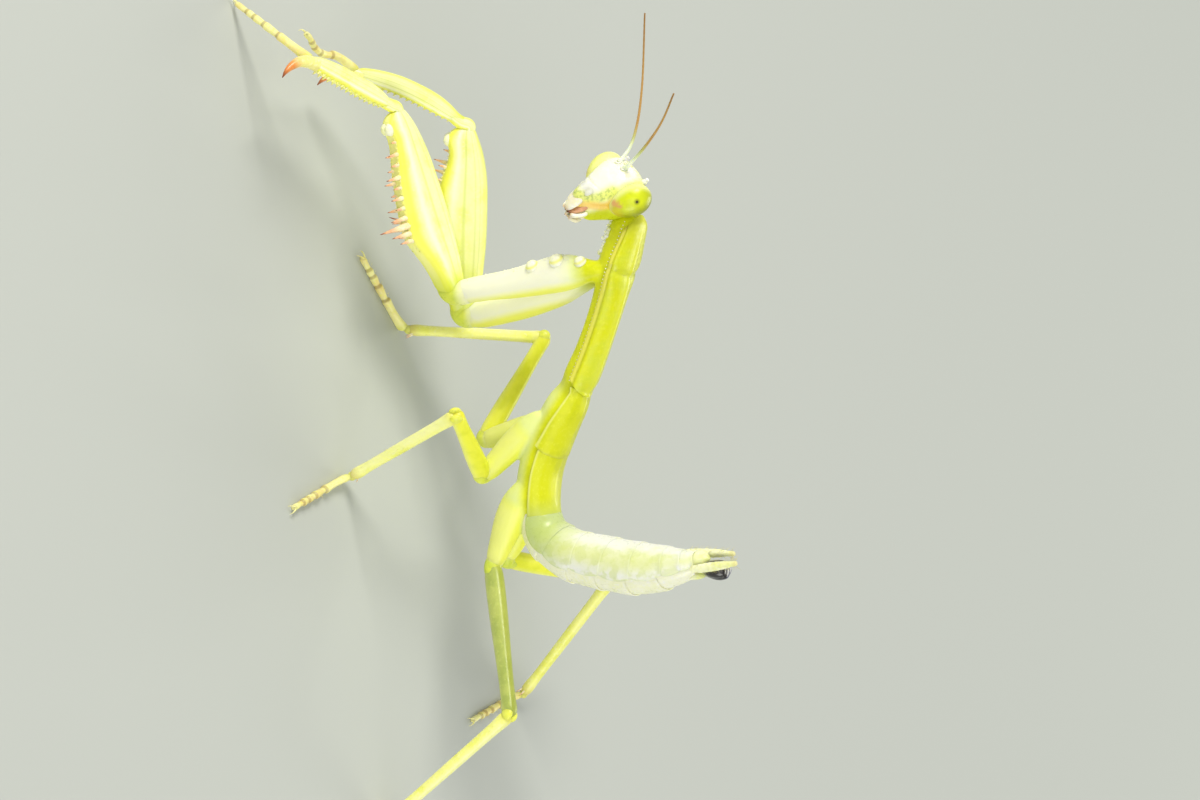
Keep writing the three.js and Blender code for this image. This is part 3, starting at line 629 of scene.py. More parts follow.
# %% Store where each point of the skin lies, for its paint
points = np.empty(len(skin.data.vertices) * 3)
skin.data.vertices.foreach_get("co", points)
points = points.reshape(-1, 3)
line = np.array([list(p) for p in midline])
nearest = np.empty(len(points), int)
CHUNK = 4000                            # points compared with the midline in one go
for start in range(0, len(points), CHUNK):
    part = points[start:start + CHUNK]
    nearest[start:start + CHUNK] = ((part[:, None, :] - line[None]) ** 2).sum(2).argmin(1)
frames = [on_midline(place) for place in reached]
over = np.array([list(f[2]) for f in frames])[nearest]
offset = points - line[nearest]
place = np.array(reached)[nearest]
widths = np.array([read_table(skin_table, p)[0] for p in reached])[nearest]
height = (offset * over).sum(1)
beside = np.sqrt((offset ** 2).sum(1)) / widths
coxa_reach, rear_side = np.zeros(len(points)), np.zeros(len(points))
closest = np.full(len(points), 9.0)
for root, hip, inner, radius in coxa_lines.values():
    start, end = np.array(root), np.array(hip)
    along = (end - start) / np.linalg.norm(end - start)
    reach = np.clip((points - start) @ along / np.linalg.norm(end - start), 0, 1)
    away = points - (start + (end - start) * reach[:, None])
    gap = np.sqrt((away ** 2).sum(1)) / radius
    closer = gap < closest
    closest = np.where(closer, gap, closest)
    coxa_reach = np.where(closer, reach, coxa_reach)
    backwards = np.array([0, 1.0, 0]) - along * along[1]
    rear_side = np.where(closer, away @ (backwards / np.linalg.norm(backwards)) / radius, rear_side)
step = np.clip((beside - 0.98) / 0.3, 0, 1)
on_coxa = np.where(closest < 1.5, step * step * (3 - 2 * step), 0) * np.clip(coxa_reach * 9, 0, 1)
for name, values in (("place", place), ("height", height), ("on_coxa", on_coxa),
                     ("coxa_reach", coxa_reach), ("rear_side", rear_side)):
    store(skin, name, values.astype(np.float32))
print("skin points on the leg roots:", int((on_coxa > 0.5).sum()))

# %% Paint for the skin
skin_paint, tree, shader, colour = shell_paint("skin_paint", VIVID, LEAF, LEMON, 0.42, 0.35)
where = stored(tree, "place")
under = spread(tree, stored(tree, "height"), -1.0, -0.2, 0.0, 1.0)
under = count(tree, "MULTIPLY", under, spread(tree, where, 12.0, 15.0, 0.75))
colour = blend(tree, under, colour, PALE_GREEN)
colour = lay(tree, colour, ("place", 22.6, 24.2, 1.0, (190, 206, 110)),
             ("place", 25.5, 28.0, 1.0, (232, 240, 176)))
# The cream past the leg roots' base is partly a painted highlight; only their rear side, turned from the light,
# keeps a vivid yellow.
leg_colour = blend(tree, spread(tree, stored(tree, "coxa_reach"), 0.0, 0.22), PALE_GREEN, CREAM)
leg_colour = lay(tree, leg_colour, ("rear_side", 0.35, 0.85, 0.85, (238, 240, 44)),
                 ("place", 13.0, 16.0, 0.75, (236, 240, 76)))
tree.links.new(blend(tree, stored(tree, "on_coxa"), colour, leg_colour), shader.inputs["Base Color"])
hand_over(skin, "cuticle_thorax", skin_paint, "prothorax", "neck", "mesothorax", "metathorax",
          *[f"abdomen_{k}" for k in range(1, 7)], *[f"{pair}_coxa_{side}" for pair, side in legs])

# %% [markdown]
# ## Shell plates over the back and belly
# The body wears hard plates that overlap like roof tiles: one long saddle over the prothorax, two on the
# wing-bearing rings, one for each ring of the abdomen above and another below. A plate is a thin curved
# sheet, so a flat grid is laid over the body's outline, raised where the real plate has a keel, a bead or a
# groove, and given its thickness by a Solidify modifier. Each hind edge lifts a little over the next plate.

# %% A sheet laid over the body
def outline(place):
    """The plates' own outline: half-width, rise, drop and lift."""
    if place < 13.1:
        width, rise, drop, lift = read_table(prothorax_table, place)
        return width * 1.01, rise - 0.05, 0.7, lift
    width, rise, drop = read_table(trunk_table, place)
    return width, rise, drop, 0.0


def sheet(name, across_steps, along_steps, surface, thickness, levels=1, marks=()):
    """A grid laid on a surface(u, v), thickened inwards. Each mark stores a number(u, v) for the paint."""
    work_on()
    bpy.ops.mesh.primitive_grid_add(x_subdivisions=across_steps, y_subdivisions=along_steps, size=2)
    piece = bpy.context.object
    piece.name = name
    spots = [((v.co.x + 1) / 2, (v.co.y + 1) / 2) for v in piece.data.vertices]
    for mark, value in marks:
        store(piece, mark, [value(u, v) for u, v in spots])
    for vertex, (u, v) in zip(piece.data.vertices, spots):
        vertex.co = surface(u, v)
    apply_with(piece, "SOLIDIFY", thickness=thickness, offset=-1)
    return smooth_out(piece, levels)


def body_plate(name, start, end, left_edge, right_edge, relief, steps, thickness=0.07, corners=(0.0, 0.0)):
    """A plate over the body between two places. The edges are turns in degrees: 0 is left, 90 the back.
    Corners say how far the front and hind corners are rounded off."""
    def surface(u, v):
        """The point of the plate over one spot of its flat grid."""
        place = place_on(u, v)
        low, high = left_edge(v), right_edge(v)
        turn = low + (high - low) * u
        grow = relief(place, turn, u, v)
        width, rise, drop, lift = outline(place)
        at, along, over = on_midline(place, lift)
        x, y = cos(radians(turn)), sin(radians(turn))
        return at + ACROSS * (width + grow) * x + over * ((rise if y > 0 else drop) + grow) * y

    def place_on(u, v):
        """How far along the body a spot of the grid lies."""
        edge = (2 * u - 1) ** 2
        return start + (end - start) * v + edge * (corners[0] * (1 - v) ** 8 - corners[1] * v ** 8)

    marks = (("edge", lambda u, v: abs(2 * u - 1)), ("along", lambda u, v: v), ("place", place_on))
    return sheet(name, steps[0], steps[1], surface, thickness, 1, marks)


print("sheets ready")


# %% The pronotum, a keeled saddle with a beaded rim
def shield_relief(place, turn, u, v):
    """How far the saddle stands out: its keel, beaded rim, waist, lip and fine grain."""
    edge = abs(2 * u - 1)
    keel = 0.07 * hump(turn, 90, 6) * min(1, max(0, place - 0.6) / 2)
    bead = 0.06 * hump(edge, 0.97, 0.06) - 0.07 * hump(edge, 0.82, 0.04)
    waist = -0.13 * hump(place, 4.35 - 0.5 * edge, 0.28)
    lip = 0.05 * hump(v, 1.0, 0.03) - 0.22 * max(0, 1 - v / 0.06) ** 2
    grain = 0.012 * sin(place * 9 + turn * 0.4) * sin(turn * 0.31 - place * 5)
    return keel + bead + waist + lip + grain + 0.02


pronotum = body_plate(
    "pronotum_shield", -0.1, 13.3, lambda v: -6 + 16 * (1 - v) ** 10, lambda v: 186 - 16 * (1 - v) ** 10,
    shield_relief, (44, 110), 0.09, (1.1, 0.9))
print("pronotum", len(pronotum.data.polygons), "faces")


# %% The two plates of the wing rings, with the first buds of the wings at their hind corners
def ring_relief(place, turn, u, v):
    """How far a wing ring's plate stands out: its keels and its hind edge."""
    edge = abs(2 * u - 1)
    keel = 0.05 * hump(turn, 90, 5) + 0.04 * hump(edge, 0.55, 0.06)
    hind_edge = (0.05 if place < 18.5 else -0.03) * v ** 3
    return keel * (1 - v ** 4) + hind_edge + 0.05 * hump(edge, 1.0, 0.06) + 0.01


ring_plates = [body_plate(name, start, end, lambda v: 4 - 12 * v ** 2.5, lambda v: 176 + 12 * v ** 2.5,
                          ring_relief, (26, 30), 0.07, (0.0, 0.5))
               for name, start, end in (("mesonotum", 12.9, 18.35), ("metanotum", 18.0, 23.45))]
print("wing ring plates", len(ring_plates))

# %% The tiles of the abdomen, above and below
SEAMS = (23.2, 25.6, 28.0, 30.4, 32.8, 35.1, 36.4, 37.2)
BACK_WALL, BELLY_WALL = 0.1, 0.13
BELLY_SHIFT = -0.5                      # how far the belly's seams lie before those of the back


def back_relief(place, turn, u, v):
    """The hind edge lifts, and the sides swell between the folds."""
    edge = abs(2 * u - 1)
    ridge = 0.03 * hump(turn, 90, 5)
    return 0.04 * edge ** 8 - 0.03 + 0.08 * v ** 2 + ridge + 0.04 * sin(pi * v) * edge ** 4


def belly_relief(place, turn, u, v):
    """The hind edge lifts in the middle, and the sides dip under the back's tiles."""
    edge = abs(2 * u - 1)
    ridge = 0.03 * hump(turn, 90, 5)
    step = 0.13 * v ** 2 * (1 - edge ** 3)
    return 0.04 - 0.05 * edge ** 8 - 0.03 + step + ridge + 0.02 * sin(pi * v) * edge ** 4


back_tiles, belly_tiles = [], []
for k, (start, end) in enumerate(zip(SEAMS, SEAMS[1:])):
    last = k == len(SEAMS) - 2
    back_tiles.append(body_plate(
        f"tergite_{k + 1}", start - 0.25, end + (0.25 if last else 0.14),
        lambda v: -12 - 9 * sin(pi * v) - 4 * v, lambda v: 192 + 9 * sin(pi * v) + 4 * v,
        back_relief, (30, 9), BACK_WALL))
for k, (start, end) in enumerate(zip(SEAMS[:6], SEAMS[1:7])):
    belly_tiles.append(body_plate(
        f"sternite_{k + 1}", start + BELLY_SHIFT, end + BELLY_SHIFT + (1.3 if k == 5 else 0.2),
        lambda v: -8, lambda v: -172, belly_relief, (26, 9), BELLY_WALL))
print("tiles", len(back_tiles), "above and", len(belly_tiles), "below")

# %% [markdown]
# ## Paint for the plates
# The saddle is a strong yellow-green that pales towards its middle, with a straw-coloured bead along its
# edge and an olive line of painted shade in the groove just inside the bead. The tiles of the abdomen are pale,
# their tops almost white, which is partly a painted highlight, with a green tinge at their sides and a thin
# olive line of painted shade along the lifted edge. Each line is drawn from the numbers that the sheets carry,
# so it follows the plate's own edge.

# %% Mix the plate paints
# The olive line from edge 0.7 to 0.82 is painted shade in the groove inside the straw bead.
shield_paint = paint(
    "shield_paint", (VIVID, (216, 226, 48), LEMON), (0.36, 0.3, 0.25), ("edge", 0.45, 0.0, 0.45, LEMON),
    ("along", 0.16, 0.0, 0.6, LEMON), ("edge", 0.7, 0.82, 0.5, (172, 168, 18)),
    ("edge", 0.84, 0.9, 0.6, (236, 226, 96)))
hand_over(pronotum, "cuticle_thorax", shield_paint, "pronotum")
ring_paint = paint(
    "ring_paint", (VIVID, LEAF, LEMON), (0.38, 0.3, 0.2), ("edge", 0.88, 0.96, 0.75, (236, 238, 130)),
    ("along", 0.94, 1.0, 0.2, (232, 236, 128)), ("place", 21.4, 23.5, 0.85, (198, 212, 100)))
hand_over(join_up("wing_ring_plates", ring_plates), "cuticle_thorax", ring_paint)

# The near-white ground of the tiles is partly a painted highlight on their tops; the olive line at edges 0.95
# to 0.99 is painted shade along the lifted scalloped rim.
tile_paint, tree, shader, colour = shell_paint(
    "tile_paint", (253, 254, 234), (246, 250, 206), MILK, 0.34, 0.35, 0.25)
marble = add(tree, "TexNoise", {
    "Vector": add(tree, "TexCoord").outputs["Object"], "Scale": 1300, "Detail": 4.0})
veins = spread(tree, marble.outputs[0], 0.44, 0.6, 0.5)
veins = count(tree, "MULTIPLY", veins, spread(tree, stored(tree, "edge"), 0.25, 0.5))
colour = lay(
    tree, blend(tree, veins, colour, (212, 224, 130)), ("edge", 0.62, 0.34, 0.6, (230, 238, 140), 0.0),
    ("edge", 0.95, 0.99, 0.2, (190, 200, 110)), ("along", 0.93, 0.99, 0.2, (222, 228, 160)),
    ("place", 28.4, 24.2, 0.85, (186, 206, 108)))
tree.links.new(colour, shader.inputs["Base Color"])
hand_over(join_up("back_tiles", back_tiles), "cuticle_abdomen", tile_paint)
belly_paint = paint("belly_paint", ((255, 254, 216), (250, 251, 198), (255, 255, 248)), (0.34, 0.35, 0.25),
                    ("edge", 0.25, 0.0, 0.3, (226, 232, 160)))
hand_over(join_up("belly_tiles", belly_tiles), "cuticle_abdomen", belly_paint)

# %% [markdown]
# ## The head
# A mantis head is a broad triangle set on its point, with the eyes at the upper corners. The capsule is
# pulled out from the mouth to the crown like any other tube. Its seams, the raised shield of the face and the
# rims round the eyes are shallow, so they are pressed into the smooth capsule afterwards by moving its points
# in or out, as a thumb would on clay. All of it is made upright in the head's own axes, x to its left, y to
# its crown and z out of its face, and turned into place at the end.

# %% The capsule
skull_table = [
    (-3.5, 0.45, 1.15, 0.3), (-3.3, 0.68, 1.4, 0.7), (-3.0, 0.85, 1.65, 0.98), (-2.2, 1.15, 1.75, 1.45),
    (-1.4, 1.55, 1.75, 1.85), (-0.6, 1.9, 1.8, 2.0), (0.2, 2.05, 1.75, 1.9), (0.9, 1.95, 1.5, 1.5),
    (1.3, 1.6, 1.15, 1.0), (1.5, 1.15, 0.8, 0.6), (1.6, 0.5, 0.35, 0.25)]
LEFTWARD, FORWARD = Vector((1, 0, 0)), Vector((0, 0, 1))        # in the head's own axes
eye_size = Vector((1.08, 1.45, 1.2))
EYE_OUT, EYE_TILT = 1.98, 0.22


def eye_axes(side):
    """From the eye's own axes to the head's."""
    return Matrix.Translation((side * EYE_OUT, -0.05, 0.05)) @ Matrix.Rotation(-side * EYE_TILT, 4, "Z")


def from_eye(point):
    """How far a point is from the nearer eye's middle, where 1 is on the eye."""
    own = eye_axes(1 if point.x > 0 else -1).inverted() @ point
    return Vector((own.x / eye_size.x, own.y / eye_size.y, own.z / eye_size.z)).length


def from_line(point, start, end):
    """The distance from a point to a line between two points."""
    along = end - start
    part = min(max((point - start).dot(along) / along.length_squared, 0), 1)
    return (point - start - along * part).length


CHEEK = [Vector(p) for p in ((0.66, -3.35, 0.98), (1.02, -2.7, 0.72), (1.2, -2.06, 0.34),
                            (1.42, -1.68, 0.26), (1.75, -1.32, 0.48), (1.95, -1.17, 0.74))]
FRECKLE_LINE = [Vector(p) for p in ((0.25, -3.05, 1.55), (0.56, -2.83, 1.4), (0.82, -2.48, 1.14),
                                  (1.12, -1.9, 1.0), (1.3, -1.4, 1.12), (1.45, -0.95, 1.25))]


def from_lines(point, knots):
    """The distance from a point to a chain of lines."""
    return min(from_line(point, a, b) for a, b in zip(knots, knots[1:]))


def mirrored(point):
    """The same point on the head's left half."""
    return Vector((abs(point.x), point.y, point.z))


def head_relief(point):
    """How far the capsule's wall stands out or in at a point."""
    x, y, z = point
    out = 0.035 * hump(from_eye(point), 1.06, 0.09)
    out -= 0.04 * hump(from_lines(mirrored(point), CHEEK), 0, 0.09)
    if z > 0:
        out -= 0.035 * hump(x, 0, 0.05) * max(0, min(1, (y - 0.9) * 3))
        out -= 0.05 * hump(abs(x), 1.02 + 0.1 * y, 0.08) * max(0, min(1, (y - 0.1) * 2))
        out -= 0.06 * hump(y, -1.78 + 0.25 * x * x, 0.07) * hump(x, 0, 1.1)
        shield = 1 / (1 + exp(-(y + 1.65) * 14)) / (1 + exp((y + 0.35 + 0.35 * abs(x)) * 14))
        out += 0.07 * shield * hump(x, 0, 0.95)
        out -= 0.05 * hump(hypot(abs(x) - 0.42, y - 0.7), 0.3, 0.08)
    return out


SKULL_RIMS, JAW_END, SKULL_HEIGHT = 30, -3.5, 5.1
head_rims = []
for i in range(SKULL_RIMS + 1):
    y = JAW_END + SKULL_HEIGHT * (i / SKULL_RIMS) ** 0.92
    width, front, back = read_table(skull_table, y)
    head_rims.append(rim(Vector((0, y, 0)), LEFTWARD, FORWARD, width, front, back, 1.1, 1.6, 24))
capsule = pull_out("head_capsule", head_rims, 2)
spots = [v.co.copy() for v in capsule.data.vertices]
store(capsule, "cheek", [hump(from_lines(mirrored(spot), CHEEK), 0, 0.42) for spot in spots])
store(capsule, "freckled", [hump(from_lines(mirrored(spot), FRECKLE_LINE), 0, 0.46) for spot in spots])
store(capsule, "by_eye", [from_eye(spot) for spot in spots])
store(capsule, "front", [spot.z for spot in spots])
normals = [v.normal.copy() for v in capsule.data.vertices]
for vertex, normal in zip(capsule.data.vertices, normals):
    vertex.co += normal * head_relief(vertex.co)
print("head capsule", len(capsule.data.vertices), "points")

# %% Sockets of the feelers, and the three small eyes on the brow
SOCKET = Vector((0.42, 0.7, 1.62))
head_bits = [capsule]
for side in (1, -1):
    work_on()
    bpy.ops.mesh.primitive_torus_add(
        major_radius=0.2, minor_radius=0.06, major_segments=24, minor_segments=10)
    ring = bpy.context.object
    at = Matrix.Translation((side * SOCKET.x, SOCKET.y, SOCKET.z + 0.02))
    ring.data.transform(at @ Matrix.Rotation(-0.3, 4, "X"))
    head_bits.append(ring)


def small_dome(place, radius, flat, normal):
    """A low round bead: a ball flattened along one direction."""
    work_on()
    bpy.ops.mesh.primitive_uv_sphere_add(segments=20, ring_count=12, radius=radius)
    bead = bpy.context.object
    bpy.ops.object.mode_set(mode="EDIT")
    bpy.ops.transform.resize(value=(1, 1, flat))
    bpy.ops.object.mode_set(mode="OBJECT")
    bead.data.transform(Matrix.Translation(place) @ normal.to_track_quat("Z", "Y").to_matrix().to_4x4())
    return bead


brow_eyes = [small_dome(Vector(p), r, 0.75, Vector((0.2 * p[0], 0.4, 1))) for p, r in (
    ((0, 0.98, 1.46), 0.13), ((0.26, 1.24, 1.18), 0.11), ((-0.26, 1.24, 1.18), 0.11))]
brow_knobs = [small_dome(Vector((side * x, y, z)), r, 1.1, Vector((side * 0.3, 1, 0.2))) for side in (1, -1)
              for (x, y, z), r in (((1.42, 1.42, 0.38), 0.22), ((1.45, 1.62, 0.44), 0.16))]
print("sockets and brow eyes made")


# %% The compound eyes: tall ovals that narrow a little downwards and sit deep in the capsule
def compound_eye(name, side):
    """One eye, shaped in its own axes, marked for its paint and turned into place."""
    work_on()
    bpy.ops.mesh.primitive_uv_sphere_add(segments=64, ring_count=40, radius=1)
    eye = bpy.context.object
    eye.name = name
    bpy.ops.object.mode_set(mode="EDIT")
    bpy.ops.mesh.select_all(action="SELECT")
    bpy.ops.transform.resize(value=tuple(eye_size))
    bpy.ops.object.mode_set(mode="OBJECT")
    for vertex in eye.data.vertices:
        y = vertex.co.y / eye_size.y
        narrow = 1 - 0.1 * max(0, -y) ** 1.5
        vertex.co.x *= narrow
        vertex.co.z *= narrow + 0.04 * max(0, y)
        vertex.co.y *= 1 + 0.13 * max(0, -y)
    for mark, axis, way in (("crown", 1, 1), ("face", 2, 1), ("outer", 0, side)):
        store(eye, mark, [v.co[axis] / eye_size[axis] * way for v in eye.data.vertices])
    eye.data.transform(to_head @ eye_axes(side))
    return eye


eyes = {side: compound_eye(f"compound_eye_{name}", side) for name, side in (("left", 1), ("right", -1))}
print("eyes", len(eyes[1].data.vertices), "points each")


# %% Mouth: the upper lip, jaws, lower lip and feelers that fold round them
def mouth_tube(rows, side=1):
    """A flap pulled out downwards. A row is the way out, height, half-width, middle, and reach forwards and
    backwards."""
    rims = [rim(Vector((side * x, y, z)), LEFTWARD, FORWARD, w, f, b, 1.2, 1.2, 14)
            for x, y, w, z, f, b in rows]
    return pull_out("flap", rims, 2)


def rod(path, radii, sides=10, levels=1, name="rod", flat=1.0):
    """A round rod along a path of points."""
    rims = []
    for i, at in enumerate(path):
        along = (path[min(i + 1, len(path) - 1)] - path[max(i - 1, 0)]).normalized()
        if i == 0:
            across = along.orthogonal().normalized()
        else:
            across = (across - along * across.dot(along)).normalized()
        rims.append(rim(at, across, along.cross(across), radii[i], radii[i] * flat, sides=sides))
    return pull_out(name, rims, levels)


clypeus = mouth_tube((
    (0, -1.75, 0.55, 1.35, 0.2, 0.3), (0, -1.95, 0.76, 1.36, 0.32, 0.3), (0, -2.3, 0.74, 1.36, 0.36, 0.3),
    (0, -2.65, 0.64, 1.32, 0.32, 0.3), (0, -2.84, 0.52, 1.26, 0.2, 0.3)))
labrum = mouth_tube((
    (0, -2.74, 0.46, 1.2, 0.2, 0.25), (0, -2.86, 0.62, 1.18, 0.32, 0.3), (0, -3.25, 0.68, 1.08, 0.32, 0.2),
    (0, -3.62, 0.58, 0.96, 0.27, 0.14), (0, -3.95, 0.4, 0.82, 0.2, 0.1), (0, -4.2, 0.15, 0.7, 0.08, 0.05)))
core = mouth_tube((
    (0, -2.6, 0.5, 0.4, 0.5, 0.7), (0, -3.2, 0.5, 0.4, 0.45, 0.6), (0, -3.8, 0.36, 0.42, 0.35, 0.42),
    (0, -4.02, 0.1, 0.42, 0.1, 0.1)))
labium = mouth_tube((
    (0, -2.3, 0.62, -0.6, 0.25, 0.15), (0, -2.9, 0.66, -0.46, 0.2, 0.18), (0, -3.4, 0.6, -0.36, 0.17, 0.17),
    (0, -3.85, 0.46, -0.22, 0.15, 0.14), (0, -4.15, 0.3, -0.08, 0.1, 0.1), (0, -4.3, 0.1, 0.0, 0.04, 0.04)))
JAW = ((0.5, -2.6, 0.34, 0.52, 0.3, 0.2), (0.5, -3.1, 0.4, 0.52, 0.24, 0.17),
       (0.43, -3.5, 0.38, 0.53, 0.18, 0.16), (0.33, -3.86, 0.28, 0.54, 0.14, 0.14),
       (0.2, -4.1, 0.16, 0.57, 0.11, 0.1), (0.1, -4.22, 0.05, 0.6, 0.05, 0.04))
MAXILLA = ((0.44, -2.7, 0.3, 0.02, 0.2, 0.2), (0.45, -3.3, 0.34, 0.03, 0.2, 0.2),
           (0.4, -3.75, 0.28, 0.07, 0.17, 0.17), (0.3, -4.08, 0.18, 0.13, 0.12, 0.12),
           (0.2, -4.26, 0.06, 0.17, 0.05, 0.05))
# Each palp's knots and thickness.
PALPS = ((((0.84, -3.1, 0.15), (0.96, -3.45, 0.3), (0.8, -3.84, 0.44), (0.48, -4.12, 0.54)), 0.16),
         (((0.4, -3.6, -0.4), (0.54, -3.9, -0.28), (0.43, -4.14, -0.08), (0.2, -4.28, 0.06)), 0.15))
jaws, soft_mouth = [], []
for side in (1, -1):
    jaws.append(mouth_tube(JAW, side))
    soft_mouth.append(mouth_tube(MAXILLA, side))
    for path, thick in PALPS:
        knots = smooth_path([Vector((side * x, y, z)) for x, y, z in path], 5)
        radii = [thick * (0.78 if i % 5 == 0 else 1.0) * (1 - 0.02 * i) for i in range(16)]
        soft_mouth.append(rod(knots, radii))
soft_mouth.append(labium)
print("mouth pieces", 2 + len(jaws) + len(soft_mouth))

# %% [markdown]
# ## Paint for the head
# The face is pale and waxy, its whiteness partly a painted highlight, and the back of the head is leaf green.
# An orange line runs down each cheek from the eye to the jaw, with green freckles above it. The eyes are glassy
# yellow-green with the small dark spot that a mantis seems to look at you with. That spot is really light lost
# down the facets that face the viewer. Here it is painted in one place on each eye, so it stays put when the
# model is turned. The far eye also carries a pale painted gloss.

# %% Mix the head paints
def spot_on(tree, point, near, far):
    """1 close to a point given in the head's axes, fading to 0."""
    middle = to_place @ to_head @ Vector(point)
    place = add(tree, "TexCoord").outputs["Object"]
    gap = add(tree, "VectorMath", {0: place, 1: tuple(middle)}, operation="DISTANCE").outputs["Value"]
    return spread(tree, gap, far * METRES, near * METRES)


head_paint, tree, shader, colour = shell_paint(
    "head_paint", (244, 246, 196), (236, 240, 160), MILK, 0.34, 0.35, 0.25)
freckles = add(tree, "TexNoise", {
    "Vector": add(tree, "TexCoord").outputs["Object"], "Scale": 4600, "Detail": 3.0})
specks = spread(tree, stored(tree, "freckled"), 0.3, 0.9, 0.6)
specks = count(tree, "MULTIPLY", spread(tree, freckles.outputs[0], 0.44, 0.62), specks)
# The white laid where the capsule faces forward is partly a painted highlight on the face.
colour = lay(tree, colour, ("front", 0.5, -0.2, 1.0, (206, 214, 26)),
             ("front", 0.8, 1.3, 0.85, (255, 254, 234)),
             ("by_eye", 1.36, 1.05, 0.6, (238, 242, 118)), ("freckled", 0.0, 0.9, 0.8, (228, 236, 84)))
colour = lay(tree, blend(tree, specks, colour, (150, 174, 84)), ("cheek", 0.15, 0.95, 0.85, (244, 196, 48)))
tree.links.new(colour, shader.inputs["Base Color"])
# The cap keeps the face's painted highlight a little weaker on the lip plate than on the brow.
FACE_PALEST, NO_EYE_NEAR = 1.15, 3.0    # the lip plate stays a little duller than the brow
for bit in head_bits[1:] + [clypeus]:
    front = [v.co.z for v in bit.data.vertices]
    store(bit, "front", [min(z, FACE_PALEST) for z in front] if bit is clypeus else front)
    store(bit, "by_eye", [NO_EYE_NEAR] * len(bit.data.vertices))


def hand_over_head(name, pieces, slot, finish, *nodes):
    """Join pieces made in the head's own axes, turn them into place and hand them over."""
    piece = join_up(name, pieces)
    piece.data.transform(to_head)
    hand_over(piece, slot, finish, *nodes)


hand_over_head("head_capsule", head_bits + [clypeus], "cuticle_head", head_paint, "head")


def eye_finish(name, side, painted_gloss):
    """The glassy paint of one eye. Painted gloss is how strongly a pale painted highlight lies over it."""
    material, tree, shader = bare_paint(name)
    place = add(tree, "TexCoord").outputs["Object"]
    clouds = add(tree, "TexNoise", {"Vector": place, "Scale": 1500, "Detail": 2.0}).outputs[0]
    colour = blend(tree, spread(tree, clouds, 0.4, 0.65, 0.5), (220, 230, 10), (206, 216, 12))
    colour = lay(tree, colour, ("crown", 0.35, 0.95, 0.6, (150, 160, 14)),
                 ("face", 0.35, -0.5, 0.8, (128, 134, 4)),
                 ("crown", -0.45, -0.95, 0.6, (214, 186, 50)), ("outer", 0.45, -0.05, 0.8, (246, 250, 170)))
    colour = blend(tree, painted_gloss, colour, (252, 254, 160))
    for x, y, z in ((1.98, -1.3, 0.76), (2.38, -1.1, 0.7)):
        patch = count(tree, "MULTIPLY", spot_on(tree, (side * x, y, z), 0.1, 0.4),
                      count(tree, "MULTIPLY", spread(tree, clouds, 0.38, 0.6), 0.8 - painted_gloss))
        colour = blend(tree, patch, colour, (228, 160, 110))
    spot = (side * 2.947, 0.047, 0.62)
    colour = blend(tree, spot_on(tree, spot, 0.05, 0.3), colour, (140, 144, 8))
    colour = blend(tree, spot_on(tree, spot, 0.05, 0.115), colour, (30, 22, 6))
    facets = add(tree, "TexVoronoi", {"Vector": place, "Scale": 17000}, feature="F1").outputs["Distance"]
    bump = add(tree, "Bump", {"Height": facets, "Strength": 0.25, "Distance": 0.00001})
    for value, socket in ((colour, "Base Color"), (bump.outputs[0], "Normal"),
                          (spread(tree, clouds, 0.3, 0.7, 0.4, 0.32), "Roughness")):
        tree.links.new(value, shader.inputs[socket])
    dial(shader, {"Specular IOR Level": 0.4, "Subsurface Weight": 0.3, "Subsurface Radius": (1.0, 1.0, 0.3),
                  "Subsurface Scale": 0.0004, "Coat Weight": 0.3, "Coat Roughness": 0.28})
    return material


# The far eye gets a pale painted gloss; the near one gets none.
for name, side, painted_gloss in (("left", 1, 0.0), ("right", -1, 0.5)):
    hand_over(eyes[side], "eye", eye_finish(f"eye_paint_{name}", side, painted_gloss), f"eye_{name}")
hand_over_head("brow_eyes", brow_eyes, "eye",
               paint("brow_paint", ((226, 226, 150), (206, 206, 110), MILK), (0.15, 0.3, 0.8, 0.05)))
lip_paint = paint("lip_paint", ((250, 249, 226), (247, 236, 204), MILK), (0.4, 0.35),
                  ("along", 0.78, 1.0, 0.5, (206, 142, 104)))
hand_over_head("upper_lip", [labrum], "mouthparts", lip_paint, "mouthparts")
hand_over_head("jaws", jaws, "mouthparts", paint(
    "jaw_paint", ((216, 160, 122), (196, 134, 96), (232, 190, 150)), (0.35, 0.25),
    ("along", 0.6, 0.95, 1.0, (84, 30, 16))))
hand_over_head("mouth_core", [core], "mouthparts",
               paint("mouth_core_paint", ((104, 38, 16), (70, 20, 10), (124, 54, 28)), (0.3, 0.1)))
hand_over_head("lower_lip_and_palps", soft_mouth, "mouthparts", lip_paint)
hand_over_head("brow_knobs", brow_knobs, "cuticle_head",
               paint("brow_knob_paint", ((254, 254, 246), (246, 248, 220), MILK), (0.25, 0.3, 0.4)))

# %% [markdown]
# ## Feelers
# Each feeler is a thread of many short rings, with a thick first joint and a smaller second one at its foot.
# The thread is pulled out along a smooth curve, and its thickness swells and narrows once for each ring,
# finer towards the tip. It starts pale at the head, turns green and ends brown.

# %% The two feelers
FEELER_PATHS = {
    "left": ((0.57, -0.35, 1.4), (1.97, -1.2, 3.35), (3.73, -2.27, 5.5), (6.02, -3.8, 7.9)),
    "right": ((-0.83, -0.71, 0.61), (-1.59, -2.22, 0.92), (-2.25, -4.72, 1.25), (-2.73, -10.06, 1.87)),
}
FEELER_STEPS = 36


